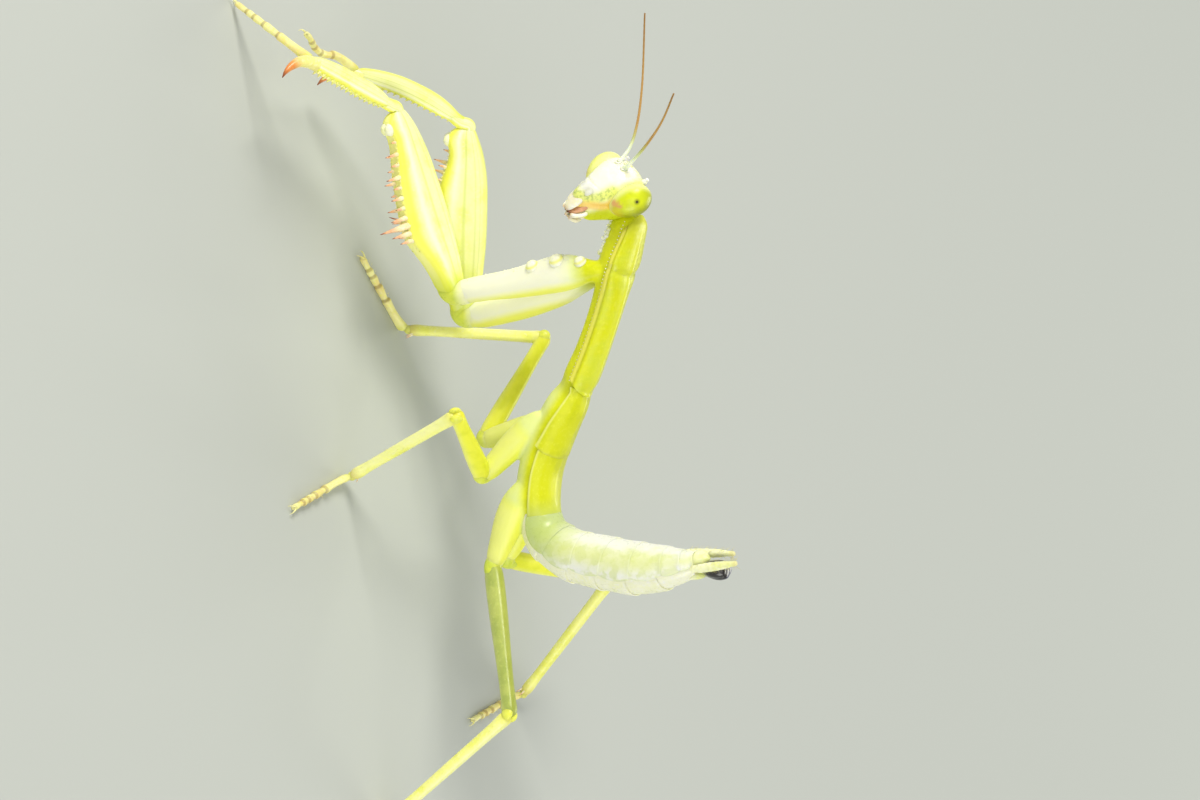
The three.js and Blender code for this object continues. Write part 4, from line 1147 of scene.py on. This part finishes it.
def feeler(name, side):
    """One feeler, from its socket through its knots."""
    foot = to_head @ Vector((side * SOCKET.x, SOCKET.y, SOCKET.z - 0.1))
    old_foot = to_head @ Vector((side * SOCKET.x, SOCKET.y, 1.9))
    path = smooth_path([foot] + [old_foot + Vector(p) for p in FEELER_PATHS[name]], FEELER_STEPS)
    radii = []
    for i in range(len(path)):
        part = i / (len(path) - 1)
        beads = 1 + 0.13 * cos(2 * pi * i / 3)
        radii.append((0.14 - 0.08 * part ** 0.8) * beads)
        reach = part * (path[-1] - path[0]).length
        if reach < 0.62:
            radii[-1] = 0.21 - 0.1 * max(0, reach - 0.42) / 0.2
        elif reach < 0.95:
            radii[-1] = 0.15
    return rod(path, radii, 10, 1, f"feeler_{name}")


feeler_paint = paint("feeler_paint", ((238, 246, 222), (222, 236, 200), MILK), (0.5, 0.3),
                     ("along", 0.18, 0.4, 1.0, (178, 186, 112)), ("along", 0.3, 0.55, 1.0, (176, 134, 76)),
                     ("along", 0.75, 1.0, 0.7, (122, 84, 48)))
for name, side in (("left", 1), ("right", -1)):
    hand_over(feeler(name, side), "feeler", feeler_paint, f"antenna_{name}")

# %% [markdown]
# ## The tail
# Two short feelers, the cerci, stand out past the last tile. They are beaded like a string of barrels. Two
# small plates close the tail above and below them, and between them lie its dark, glossy valves, with a blue
# glint painted on one side of each. All are rods pulled out along short paths.

# %% Cerci and tail valves
tail_at, tail_along, tail_over = on_midline(SEAMS[-1])


def by_tail(out, lift, past):
    """A point by the tail: to the left, towards the back, and past the tail's end."""
    return tail_at + ACROSS * out + tail_over * lift + tail_along * past


def cercus(name, root, tip):
    """A beaded tail feeler between two points by the tail."""
    start, end = by_tail(*root), by_tail(*tip)
    parts = [i / 30 for i in range(31)]
    path = [start.lerp(end, part) for part in parts]
    radii = [(0.24 + 0.09 * sin(pi * min(1, part * 1.2)) ** 0.8 - 0.08 * part ** 6)
             * (0.92 + 0.1 * abs(sin(pi * part * 8)) ** 0.6) for part in parts]
    return rod(path, radii, 14, 1, name)


CERCUS_ENDS = {"left": ((1.0, -0.4, 0.0), (1.2, -0.88, 3.75)),
               "right": ((-1.0, 0.95, -1.2), (-1.2, -0.1, 2.5))}
cercus_paint = paint("cercus_paint", ((248, 250, 206), (238, 242, 170), MILK), (0.4, 0.35),
                     ("along", 0.85, 1.0, 0.5, (206, 186, 110)))
for name, ends in CERCUS_ENDS.items():
    hand_over(cercus(f"cercus_{name}_beads", *ends), "cercus", cercus_paint, f"cercus_{name}")

cap_path = smooth_path([by_tail(0, 0.3, -0.7), by_tail(0, 0.28, 0.1), by_tail(0, 0.12, 0.75),
                        by_tail(0, -0.05, 1.15)], 4)
tail_cap = rod(cap_path, (0.5, 0.62, 0.68, 0.7, 0.68, 0.64, 0.6, 0.54, 0.47, 0.38, 0.28, 0.16, 0.05), 16, 1,
               "tail_cap", 0.6)
floor_path = smooth_path([by_tail(0, -0.5, -0.9), by_tail(0, -0.72, 0.0), by_tail(0, -1.0, 0.6)], 4)
tail_floor = rod(floor_path, (0.5, 0.56, 0.6, 0.6, 0.58, 0.52, 0.44, 0.3, 0.1), 16, 1, "tail_floor", 0.55)
hand_over(join_up("tail_end_plates", [tail_cap, tail_floor]), "cuticle_abdomen", paint(
    "tail_end_paint", ((242, 246, 196), (226, 234, 150), MILK), (0.36, 0.35),
    ("along", 0.6, 1.0, 0.6, (200, 206, 110))))

valves = []
for side in (1, -1, 0):
    lift = -0.15 if side == 0 else 0
    path = smooth_path([by_tail(side * 0.24, -0.35 + lift, -0.4), by_tail(side * 0.3, -0.56 + lift, 0.7),
                        by_tail(side * 0.28, -0.84 + lift, 1.5), by_tail(side * 0.12, -1.12 + lift, 2.25)], 4)
    valves.append(rod(path, [0.26 + 0.37 * sin(pi * (i / 13) ** 1.5) ** 0.9 for i in range(13)], 14, 1))
# The blue laid on one side of each valve is a painted glint.
hand_over(join_up("tail_valve_set", valves), "tail_tip", paint(
    "valve_paint", ((34, 28, 26), (18, 16, 18), (60, 50, 44)), (0.22, 0.0, 0.8),
    ("along", 0.5, 0.25, 1.0, (176, 186, 84)), ("inner", 0.1, 0.9, 0.5, (40, 60, 120))), "tail_valves")

# %% [markdown]
# ## Legs, piece by piece
# Past its root every leg is a chain of hard tubes: a small elbow called the trochanter, then femur, tibia and
# a five-jointed foot. The tubes meet in visible joints, so they stay separate pieces. A table of sizes along
# each tube gives its rims. The grasping femur is deep and flattened, the walking ones slender with faint
# keels, so their rims are a little square.

# %% Sizes along the leg pieces: part of the length, half-width, inner reach, outer reach
fore_femur_table = [
    (0, 0.55, 0.6, 0.6), (0.05, 0.8, 1.05, 0.95), (0.12, 0.85, 1.25, 1.1), (0.2, 0.88, 1.6, 1.25),
    (0.28, 0.9, 2.1, 1.35), (0.37, 0.9, 2.6, 1.45), (0.48, 0.88, 2.55, 1.5), (0.6, 0.85, 2.25, 1.5),
    (0.72, 0.8, 1.85, 1.45), (0.82, 0.75, 1.4, 1.25), (0.88, 0.75, 1.3, 1.05), (0.93, 0.72, 1.55, 0.8),
    (0.97, 0.6, 1.3, 0.6), (1, 0.35, 0.75, 0.4)]
fore_tibia_table = [
    (0, 0.34, 0.32, 0.34), (0.04, 0.4, 0.38, 0.46), (0.1, 0.36, 0.3, 0.4), (0.19, 0.46, 0.42, 0.6),
    (0.31, 0.5, 0.52, 0.76), (0.5, 0.48, 0.54, 0.8), (0.67, 0.46, 0.52, 0.8), (0.83, 0.44, 0.52, 0.68),
    (0.95, 0.38, 0.46, 0.5), (1, 0.28, 0.35, 0.35)]
femur_table = [
    (0, 0.4, 0.46, 0.46), (0.05, 0.54, 0.66, 0.66), (0.3, 0.54, 0.68, 0.68), (0.7, 0.46, 0.54, 0.54),
    (0.9, 0.46, 0.52, 0.52), (0.955, 0.54, 0.6, 0.56), (0.985, 0.46, 0.54, 0.46), (1, 0.28, 0.34, 0.3)]
tibia_table = [
    (0, 0.3, 0.32, 0.32), (0.03, 0.46, 0.5, 0.48), (0.08, 0.44, 0.47, 0.45), (0.16, 0.39, 0.43, 0.42),
    (0.5, 0.37, 0.4, 0.4), (0.85, 0.34, 0.37, 0.37), (0.95, 0.4, 0.43, 0.41), (1, 0.28, 0.32, 0.32)]
KNEE_REACH = 0.25
SHIN_BOW = {"left": 0.0, "right": 0.45}


def leg_way(pair, side):
    """A leg's joints and the directions that its pieces bend in."""
    root, hip, knee, ankle, tip = legs[pair, side]
    inner = square_to(between(hip, knee), between(knee, ankle))
    palm = square_to(between(knee, ankle), between(hip, knee)) * -1
    return root, hip, knee, ankle, tip, inner, palm


def elbow(pair, side):
    """The trochanter, a short bent sleeve from the leg's root piece into its femur."""
    root, hip, knee, ankle, tip, inner, palm = leg_way(pair, side)
    back, on = between(root, hip), between(hip, knee)
    fore = pair == "fore"
    size = 1.0 if fore else 0.62
    path = smooth_path([hip - back * (1.7 if fore else 0.9), hip - back * 0.5 * size,
                        hip + on * 0.35 * size + back * 0.12, hip + on * (1.5 if fore else 1.0)], 5)
    radii = [size * (0.84 + 0.2 * sin(pi * i / 15)) - (0.05 if fore else 0.0) for i in range(16)]
    return rod(path, radii, 16, 1, f"trochanter_{pair}_{side}")


print("leg sizes ready for", len(legs), "legs")

# %% [markdown]
# ## Thorns, beads and bristles
# What repeats is modelled once and copied. A thorn is a slim cone with a slight bend and
# a dark tip, a bead is a low dome, and a bristle has only three sides, because there are hundreds of them.
# Each copy is turned to its own direction, sized, and written into one joined mesh with points of its own.

# %% Model one thorn, one bead and one bristle
def cone_model(name, sides, heights, radii, bend):
    """A cone of height 1 through rims, bent sideways towards its tip."""
    rims = []
    for h, r in zip(heights, radii):
        middle = Vector((bend * h * h, 0, h))
        rims.append([middle + Vector((cos(2 * pi * k / sides), sin(2 * pi * k / sides), 0)) * r
                     for k in range(sides)])
    return pull_out(name, rims, 0, heights)


thorn_model = cone_model("thorn", 8, (-0.2, 0.0, 0.25, 0.5, 0.75, 0.93, 1.0),
                         (1, 1, 0.8, 0.56, 0.33, 0.14, 0.03), 0.1)
bead_model = cone_model("bead", 14, (-0.4, 0.0, 0.4, 0.72, 0.92, 1.0), (1, 1, 0.9, 0.68, 0.38, 0.1), 0.0)
bristle_model = cone_model("bristle", 3, (0.0, 0.5, 1.0), (1, 0.6, 0.1), 0.15)


def copies(name, model, places):
    """One mesh that holds a copy of the model for each place matrix."""
    corners = [v.co.copy() for v in model.data.vertices]
    sides = [tuple(p.vertices) for p in model.data.polygons]
    marks = np.zeros(len(corners), np.float32)
    model.data.attributes["along"].data.foreach_get("value", marks)
    points, faces = [], []
    for place in places:
        first = len(points)
        points.extend(place @ corner for corner in corners)
        faces.extend(tuple(first + i for i in side) for side in sides)
    mesh = bpy.data.meshes.new(name)
    mesh.from_pydata(points, [], faces)
    made = bpy.data.objects.new(name, mesh)
    bpy.context.scene.collection.objects.link(made)
    store(made, "along", np.tile(marks, len(places)))
    return made


def stand_on(foot, direction, length, radius, lean=None):
    """The matrix that stands a model on a spot, with its bend towards a direction."""
    up = direction.normalized()
    side = square_to(up, lean) if lean else up.orthogonal().normalized()
    axes = Matrix((side, up.cross(side), up)).transposed().to_4x4()
    return Matrix.Translation(foot) @ axes @ Matrix.Diagonal((radius, radius, length, 1))


print("models ready:", thorn_model.name, bead_model.name, bristle_model.name)

# %% The thorns of the grasping legs
# Part of the length and thorn length, in the row that shows, then in the row on the other edge.
FEMUR_THORNS = ((0.37, 1.3), (0.41, 1.9), (0.45, 3.0), (0.49, 1.6), (0.54, 0.9), (0.59, 1.2), (0.64, 0.8),
                (0.69, 1.4), (0.75, 0.8), (0.8, 1.0), (0.86, 0.5))
FEMUR_BACK_THORNS = ((0.39, 0.6), (0.43, 1.0), (0.47, 0.8), (0.53, 1.0), (0.6, 0.5), (0.66, 0.9), (0.72, 0.5),
                     (0.79, 0.6))
thorns, denticles = [], []
for side, outward in (("left", 1), ("right", -1)):
    root, hip, knee, ankle, tip, inner, palm = leg_way("fore", side)
    on, shin = between(hip, knee), between(knee, ankle)
    across = on.cross(inner)
    for row, rows in ((1, FEMUR_THORNS), (-1, FEMUR_BACK_THORNS)):
        for part, length in rows:
            reach = read_table(fore_femur_table, part)[1]
            foot = hip.lerp(knee, part) + inner * (reach - 0.2) + across * row * outward * 0.24
            thorns.append(stand_on(foot, inner + on * 0.22 + across * row * outward * 0.12,
                                   length * 1.05 + 0.15, 0.15 + 0.045 * length, on))
    for i in range(26):
        part = 0.3 + 0.022 * i
        reach = read_table(fore_femur_table, part)[1]
        for row in (1, -1):
            foot = hip.lerp(knee, part) + inner * (reach - 0.12) + across * row * 0.3
            denticles.append(stand_on(foot, inner + across * row * 0.3 + on * 0.3, 0.24, 0.09, on))
    across = shin.cross(palm)
    for i in range(15):
        part = 0.16 + 0.053 * i
        reach = read_table(fore_tibia_table, part)[1]
        bow = palm * -SHIN_BOW[side] * sin(pi * part)
        for row in (1, -1):
            foot = knee.lerp(ankle, part) + bow + palm * (reach - 0.1) + across * row * 0.2
            way = palm + shin * 0.55 + across * row * 0.15
            denticles.append(stand_on(foot, way, 0.27 + 0.008 * i, 0.13, shin))
print("thorns", len(thorns), "small teeth", len(denticles))


# %% The curved claw at the end of each grasping shin
CLAW_CURVE = ((-0.7, 0.02), (0.3, 0.16), (1.0, 0.48), (1.55, 1.0), (1.9, 1.55), (2.08, 2.1))


def shin_claw(side):
    """The claw, curved from the shin's own line towards its palm."""
    root, hip, knee, ankle, tip, inner, palm = leg_way("fore", side)
    shin = between(knee, ankle)
    path = smooth_path([ankle + shin * a + palm * p for a, p in CLAW_CURVE], 4)
    return rod(path, [0.46 * (1 - (i / 20) ** 1.6) + 0.02 for i in range(21)], 12, 1, f"claw_{side}")


hand_over(join_up("shin_claws", [shin_claw("left"), shin_claw("right")]), "cuticle_leg", paint(
    "claw_paint", ((244, 242, 150), (240, 228, 140), CREAM), (0.3, 0.2, 0.4),
    ("along", 0.35, 0.65, 1.0, (226, 140, 70)), ("along", 0.7, 1.0, 1.0, (110, 46, 24))))
thorn_paint = paint("thorn_paint", ((250, 238, 196), (246, 224, 180), MILK), (0.32, 0.2, 0.3),
                    ("along", 0.25, 0.7, 1.0, (240, 176, 140)), ("along", 0.78, 0.95, 1.0, (126, 42, 30)))
hand_over(copies("femur_thorns", thorn_model, thorns), "cuticle_leg", thorn_paint)
hand_over(copies("small_teeth", thorn_model, denticles), "cuticle_leg", paint(
    "tooth_paint", ((240, 244, 120), (246, 240, 150), MILK), (0.35, 0.3, 0.3),
    ("along", 0.7, 1.0, 0.6, (214, 160, 80))))

# %% Paint for the legs
# The milk-white line at inner 0.26 is a painted highlight that runs along the piece.
grasp_paint = paint(
    "grasp_paint", ((246, 249, 180), (238, 244, 146), (248, 250, 206)), (0.46, 0.35, 0.1),
    ("inner", 0.35, 0.7, 0.85, (250, 248, 84)), ("inner", 0.9, 1.0, 0.5, (252, 252, 190)),
    ("inner", 0.26, 0.16, 0.7, (252, 253, 226), 0.0), ("inner", 0.02, 0.07, 0.5, (204, 212, 96), 0.0),
    ("inner", -0.3, 0.07, 0.35, (204, 212, 96), 0.0), ("inner", -0.52, 0.07, 0.3, (204, 212, 96), 0.0),
    ("inner", -0.55, -0.95, 0.65, (228, 234, 70)), ("along", 0.22, 0.0, 0.8, (208, 220, 40)))
walk_paint = paint("walk_paint", ((242, 243, 70), (228, 232, 50), LEMON), (0.38, 0.35),
                   ("inner", 0.0, 0.9, 0.55, (240, 242, 150)), ("along", 0.93, 1.0, 0.6, (226, 214, 70)))
# The near hind femur's greyer, darker green is painted shade, a shaded copy of the walking legs' paint.
shaded_hind_femur_paint = paint("shaded_hind_femur_paint", ((186, 196, 104), (166, 180, 90), (204, 212, 120)), (0.38, 0.35),
                   ("inner", 0.1, 0.9, 0.5, (224, 230, 150)), ("inner", -0.5, -0.95, 0.55, (150, 158, 40)))
shin_paint = paint("shin_paint", ((250, 250, 150), (240, 242, 118), (252, 253, 200)), (0.38, 0.35),
                   ("inner", -0.1, -0.9, 0.5, (246, 248, 190)), ("along", 0.1, 0.0, 0.7, (232, 226, 60)),
                   ("along", 0.88, 1.0, 0.6, (196, 176, 86)))
elbow_paint = paint("elbow_paint", ((224, 232, 90), (208, 222, 80), LEMON), (0.34, 0.4),
                    ("along", 0.4, 0.08, 1.0, (250, 251, 204)))
print("leg paints mixed")


# %% Femora, tibiae, their elbows and the necks of the grasping shins
def knee_neck(side):
    """The narrow bent neck of a grasping shin, which turns between the femur's cheeks."""
    root, hip, knee, ankle, tip, inner, palm = leg_way("fore", side)
    on, shin = between(hip, knee), between(knee, ankle)
    path = smooth_path([hip.lerp(knee, 0.94) + inner * 0.25, knee + on * 0.1 - shin * 0.12,
                        knee.lerp(ankle, 0.07) - palm * 0.05,
                        knee.lerp(ankle, 0.2) - palm * SHIN_BOW[side] * 0.6], 5)
    return rod(path, [0.36 + 0.12 * sin(pi * i / 15) ** 0.7 for i in range(16)], 14, 1, f"knee_neck_{side}")


femur_paints = {("hind", "left"): shaded_hind_femur_paint, ("fore", "left"): grasp_paint, ("fore", "right"): grasp_paint}
for pair, side in legs:
    root, hip, knee, ankle, tip, inner, palm = leg_way(pair, side)
    if pair == "fore":
        femur_rims = limb_rims(hip, knee, inner, fore_femur_table, 40, 24, 0, 1.7, 1.5,
                               ((30, 0.09), (150, 0.09), (-28, 0.09), (208, 0.09)))
        tibia_rims = limb_rims(knee, ankle, palm, fore_tibia_table, 30, 20, -SHIN_BOW[side], 1.5, 1.3,
                               ((-20, 0.03), (200, 0.03)))
    else:
        end = knee + between(hip, knee) * KNEE_REACH
        femur_rims = limb_rims(hip, end, inner, femur_table, 26, 12, 0, 1.3)
        tibia_rims = limb_rims(knee, ankle, palm, tibia_table, 30, 12, 0, 1.3)
    femur = pull_out(f"femur_{pair}_{side}", femur_rims, 1)
    tibia = pull_out(f"tibia_{pair}_{side}", tibia_rims, 1)
    hand_over(femur, "cuticle_leg", femur_paints.get((pair, side), walk_paint), f"{pair}_femur_{side}")
    hand_over(tibia, "cuticle_leg", grasp_paint if pair == "fore" else shin_paint, f"{pair}_tibia_{side}")
    hand_over(elbow(pair, side), "cuticle_coxa", elbow_paint)
hand_over(join_up("grasping_knee_necks", [knee_neck("left"), knee_neck("right")]), "cuticle_leg", grasp_paint)

# %% [markdown]
# ## Knee lobes
# At the knee the femur ends in two rounded cheeks that hold the shin between them like a hinge. They are low
# domes, flattened sideways, one pair for each leg, and on the grasping legs they are milk-white.

# %% Two cheeks at each knee
lobes = {True: [], False: []}
for pair, side in legs:
    root, hip, knee, ankle, tip, inner, palm = leg_way(pair, side)
    on = between(hip, knee)
    across = on.cross(inner)
    fore = pair == "fore"
    for row in (1, -1):
        if fore:
            middle = hip.lerp(knee, 0.93) + inner * 1.26 + across * row * 0.2
        else:
            middle = knee + on * 0.02 + inner * 0.06 + across * row * 0.3
        lobes[fore].append(small_dome(middle, *((0.48, 0.7) if fore else (0.46, 0.55)), across))
hand_over(join_up("grasping_knee_lobes", lobes[True]), "cuticle_leg",
          paint("lobe_paint", ((252, 252, 216), (244, 247, 180), MILK), (0.36, 0.35, 0.2)))
hand_over(join_up("walking_knee_lobes", lobes[False]), "cuticle_leg",
          paint("knee_paint", ((232, 236, 96), (218, 222, 80), LEMON), (0.36, 0.35, 0.2)))

# %% [markdown]
# ## Feet
# A mantis foot has five joints. The first is the longest, each ends in a small pad that touches the ground,
# and the last carries two curved claws. The whole foot is pulled out along its path with a waist at every
# joint. What would lie below the floor is pressed flat on it, and that gives the pads their soles.

# %% A foot along its path
# Part of the length, half-width and height of the foot, waists between the joints included.
foot_table = [
    (0, 0.24, 0.7), (0.06, 0.28, 0.76), (0.2, 0.22, 0.6), (0.34, 0.24, 0.58), (0.4, 0.31, 0.64),
    (0.42, 0.3, 0.6), (0.43, 0.19, 0.44), (0.48, 0.22, 0.5), (0.56, 0.27, 0.56), (0.605, 0.3, 0.58),
    (0.62, 0.19, 0.42), (0.68, 0.25, 0.5), (0.735, 0.29, 0.54), (0.75, 0.18, 0.4), (0.79, 0.27, 0.5),
    (0.825, 0.28, 0.5), (0.84, 0.17, 0.38), (0.9, 0.18, 0.42), (0.96, 0.24, 0.46), (1, 0.14, 0.3)]
TOE_CLAW = ((-0.1, 0.06, 0.04), (0.16, 0.16, 0.08), (0.38, 0.26, 0.0), (0.5, 0.3, -0.17))
SOLE = 0.6                              # what is left of the foot's lower half once it stands on the floor


def spot_along(path, part):
    """The point this far along a path of points."""
    lengths = [0.0]
    for p, q in zip(path, path[1:]):
        lengths.append(lengths[-1] + (q - p).length)
    want = part * lengths[-1]
    k = next((i for i in range(1, len(path)) if lengths[i] >= want - 1e-9), len(path) - 1)
    return path[k - 1].lerp(path[k], (want - lengths[k - 1]) / (lengths[k] - lengths[k - 1]))


def foot(name, path, upright, flat):
    """A foot along a path. A flat one lies on the floor."""
    def axes(start, end):
        """The way the foot heads between two parts of its path, across it and over it."""
        along = (spot_along(path, end) - spot_along(path, start)).normalized()
        across = along.cross(upright).normalized()
        return along, across, across.cross(along).normalized()

    rims = []
    for part, width, height in foot_table:
        at = spot_along(path, part)
        along, across, over = axes(max(0, part - 0.02), min(1, part + 0.02))
        if flat:
            at = Vector((at.x, at.y, height / 2 + 0.3 * hump(part, 0, 0.05)))
        rims.append(rim(at, across, over, width, height / 2, height / 2 / (SOLE if flat else 1), sides=12))
    pieces = [pull_out(name, rims, 2, [row[0] for row in foot_table])]
    on, across, over = axes(0.95, 1.0)
    end = spot_along(path, 0.985)
    if flat:
        end = Vector((end.x, end.y, 0.26))
    ankle_ball = small_dome(path[0], 0.34, 0.95, upright)
    store(ankle_ball, "along", [0.0] * len(ankle_ball.data.vertices))
    pieces.append(ankle_ball)
    for side in (1, -1):
        knots = [end + on * a + across * side * b + over * c for a, b, c in TOE_CLAW]
        pieces.append(rod(smooth_path(knots, 3), [0.085 - 0.008 * i for i in range(10)], 8, 1))
    whole = join_up(name, pieces)
    for vertex in whole.data.vertices:
        vertex.co.z = max(vertex.co.z, 0.0)
    return whole


foot_paint = paint(
    "foot_paint", ((242, 236, 164), (232, 214, 138), LEMON), (0.45, 0.3),
    *[("along", joint, 0.024, 0.42, (104, 62, 34), 0.002) for joint in (0.425, 0.615, 0.745, 0.835)],
    ("along", 0.12, 0.0, 0.7, (214, 220, 90)))
UP = Vector((0, 0, 1))
# Where the right grasping foot bends, past its ankle.
RIGHT_FOOT_KNOTS = [Vector(knot) for knot in (
    (8.36, -34.77, 4.08), (9.86, -35.13, 4.22), (10.99, -35.09, 4.23), (12.42, -35.51, 4.43),
    (13.56, -36.1, 4.89), (14.35, -36.39, 5.07))]
for (pair, side), (root, hip, knee, ankle, tip) in legs.items():
    path, upright = [ankle, tip], UP
    if pair == "fore":
        palm = leg_way(pair, side)[-1]
        start, upright = ankle - palm * 0.05, palm * -1
        path = [start, tip] if side == "left" else smooth_path([start] + RIGHT_FOOT_KNOTS, 6)
    made = foot(f"foot_{pair}_{side}", path, upright, pair != "fore")
    hand_over(made, "foot", foot_paint, f"{pair}_tarsus_{side}")

# %% Spurs at the ankles, knobs on the grasping legs' roots, and beads along the body
skin_tree = BVHTree.FromPolygons([v.co * MILLIMETRES + model_centre for v in skin.data.vertices],
                                 [tuple(p.vertices) for p in skin.data.polygons])


def on_skin(inside, way):
    """Where a line from inside the body leaves the skin."""
    return skin_tree.ray_cast(inside, way)[0] or inside


# Part of the leg root's length, and size.
KNOBS = ((0.035, 0.58), (0.185, 0.7), (0.365, 0.64), (0.5, 0.22), (0.6, 0.16))
KNOB_TURN = radians(24)
spurs, knobs, granules = [], [], []
for (pair, side), (root, hip, knee, ankle, tip) in legs.items():
    if pair != "fore":
        shin, inner = between(knee, ankle), leg_way(pair, side)[-1]
        across = shin.cross(inner)
        for row in (1, -1):
            foot_at = knee.lerp(ankle, 0.965) + inner * 0.3 + across * row * 0.14
            spurs.append(stand_on(foot_at, shin * 1.2 + inner * 0.7 + across * row * 0.2, 0.62, 0.09, shin))
        continue
    on, outward = between(root, hip), 1 if side == "left" else -1
    facing = square_to(on, Vector((0.25 * outward, -1, 0)))
    crest = (facing * cos(KNOB_TURN) + square_to(facing, ACROSS * outward) * sin(KNOB_TURN)).normalized()
    for part, size in KNOBS:
        foot_at = on_skin(root.lerp(hip, part), crest)
        knobs.append(stand_on(foot_at - crest * 0.12, crest, size * 0.76, size * 0.85, on))
    random.seed(7 if side == "left" else 8)
    for i in range(60):
        part = 0.06 + 0.9 * i / 60
        turn = random.uniform(-0.45, 0.45)
        way = (facing * cos(turn) + on.cross(facing) * sin(turn)).normalized()
        size = random.uniform(0.035, 0.075)
        granules.append(stand_on(on_skin(root.lerp(hip, part), way) - way * 0.02, way, size, size, on))
random.seed(11)
for side in (1, -1):
    for i in range(46):
        place = 0.5 + 12.3 * i / 46
        width, rise, drop, lift = outline(place)
        at, along, over = on_midline(place, lift)
        size = random.uniform(0.03, 0.05)
        way = (ACROSS * side - over * 0.1).normalized()
        granules.append(stand_on(at + way * (width + 0.05), way, size * 1.3, size, along))
for i in range(12):
    place = 0.7 + 2.7 * i / 12
    at, along, over = on_midline(place, read_table(skin_table, place)[3])
    for side in (1, -1):
        size = random.uniform(0.1, 0.22)
        turn = radians(random.uniform(-74, -52))
        way = ACROSS * side * cos(turn) + over * sin(turn)
        granules.append(stand_on(on_skin(at, way), way, size * 1.2, size, along))
print("spurs", len(spurs), "knobs", len(knobs), "beads", len(granules))
hand_over(copies("ankle_spurs", thorn_model, spurs), "cuticle_leg", thorn_paint)
hand_over(smooth_out(copies("coxa_knobs", bead_model, knobs), 1), "cuticle_coxa", paint(
    "knob_paint", (CREAM, (250, 250, 214), MILK), (0.3, 0.35, 0.3),
    ("along", 0.45, 0.34, 0.7, (247, 243, 84), 0.0)))
hand_over(copies("white_beads", bead_model, granules), "cuticle_coxa",
          paint("bead_paint", (MILK, (246, 246, 200), MILK), (0.3, 0.3, 0.3)))

# %% [markdown]
# ## Bristles
# Even a smooth mantis has fine touch bristles. They stand thickest on the tail feelers, thinly along the
# shins and in rows beside the feet. Each is a three-sided spike copied from one model, short and slanted
# towards the piece's tip, and a seeded draw gives every one its own place and tilt.

# %% Bristles on tail feelers, shins and feet
def bristles_along(start, end, radius, many, length, ways):
    """Places for bristles round a straight piece. The radius is read at each part of its length."""
    along = between(start, end)
    first = along.orthogonal().normalized()
    second = along.cross(first)
    found = []
    for i in range(many):
        part = 0.04 + 0.92 * (i + random.random()) / many
        turn = random.uniform(*ways)
        out = first * cos(turn) + second * sin(turn)
        spot = start.lerp(end, part) + out * (radius(part) * 0.88)
        long = length * random.uniform(0.6, 1.25)
        found.append(stand_on(spot, out + along * random.uniform(0.7, 1.3), long, 0.016, along))
    return found


random.seed(21)
ROUND = (0.0, 2 * pi)
hairs = []
for start, end in CERCUS_ENDS.values():
    hairs += bristles_along(by_tail(*start), by_tail(*end), lambda part: 0.3 - 0.05 * part, 90, 0.5, ROUND)
for (pair, side), (root, hip, knee, ankle, tip) in legs.items():
    if pair != "fore":
        hairs += bristles_along(knee, ankle, lambda part: read_table(tibia_table, part)[0], 110, 0.26, ROUND)
        hairs += bristles_along(ankle + UP * -0.35, tip, lambda part: 0.26, 40, 0.24, ROUND)
hairs = [place for place in hairs if place.translation.z > 0.12 and (place @ UP).z > 0.02]
hand_over(copies("bristles", bristle_model, hairs), "cuticle_leg", paint(
    "bristle_paint", ((232, 226, 150), (214, 204, 120), CREAM), (0.4, 0.2),
    ("along", 0.5, 1.0, 0.5, (176, 150, 84))))
for model in (thorn_model, bead_model, bristle_model):
    bpy.data.objects.remove(model)
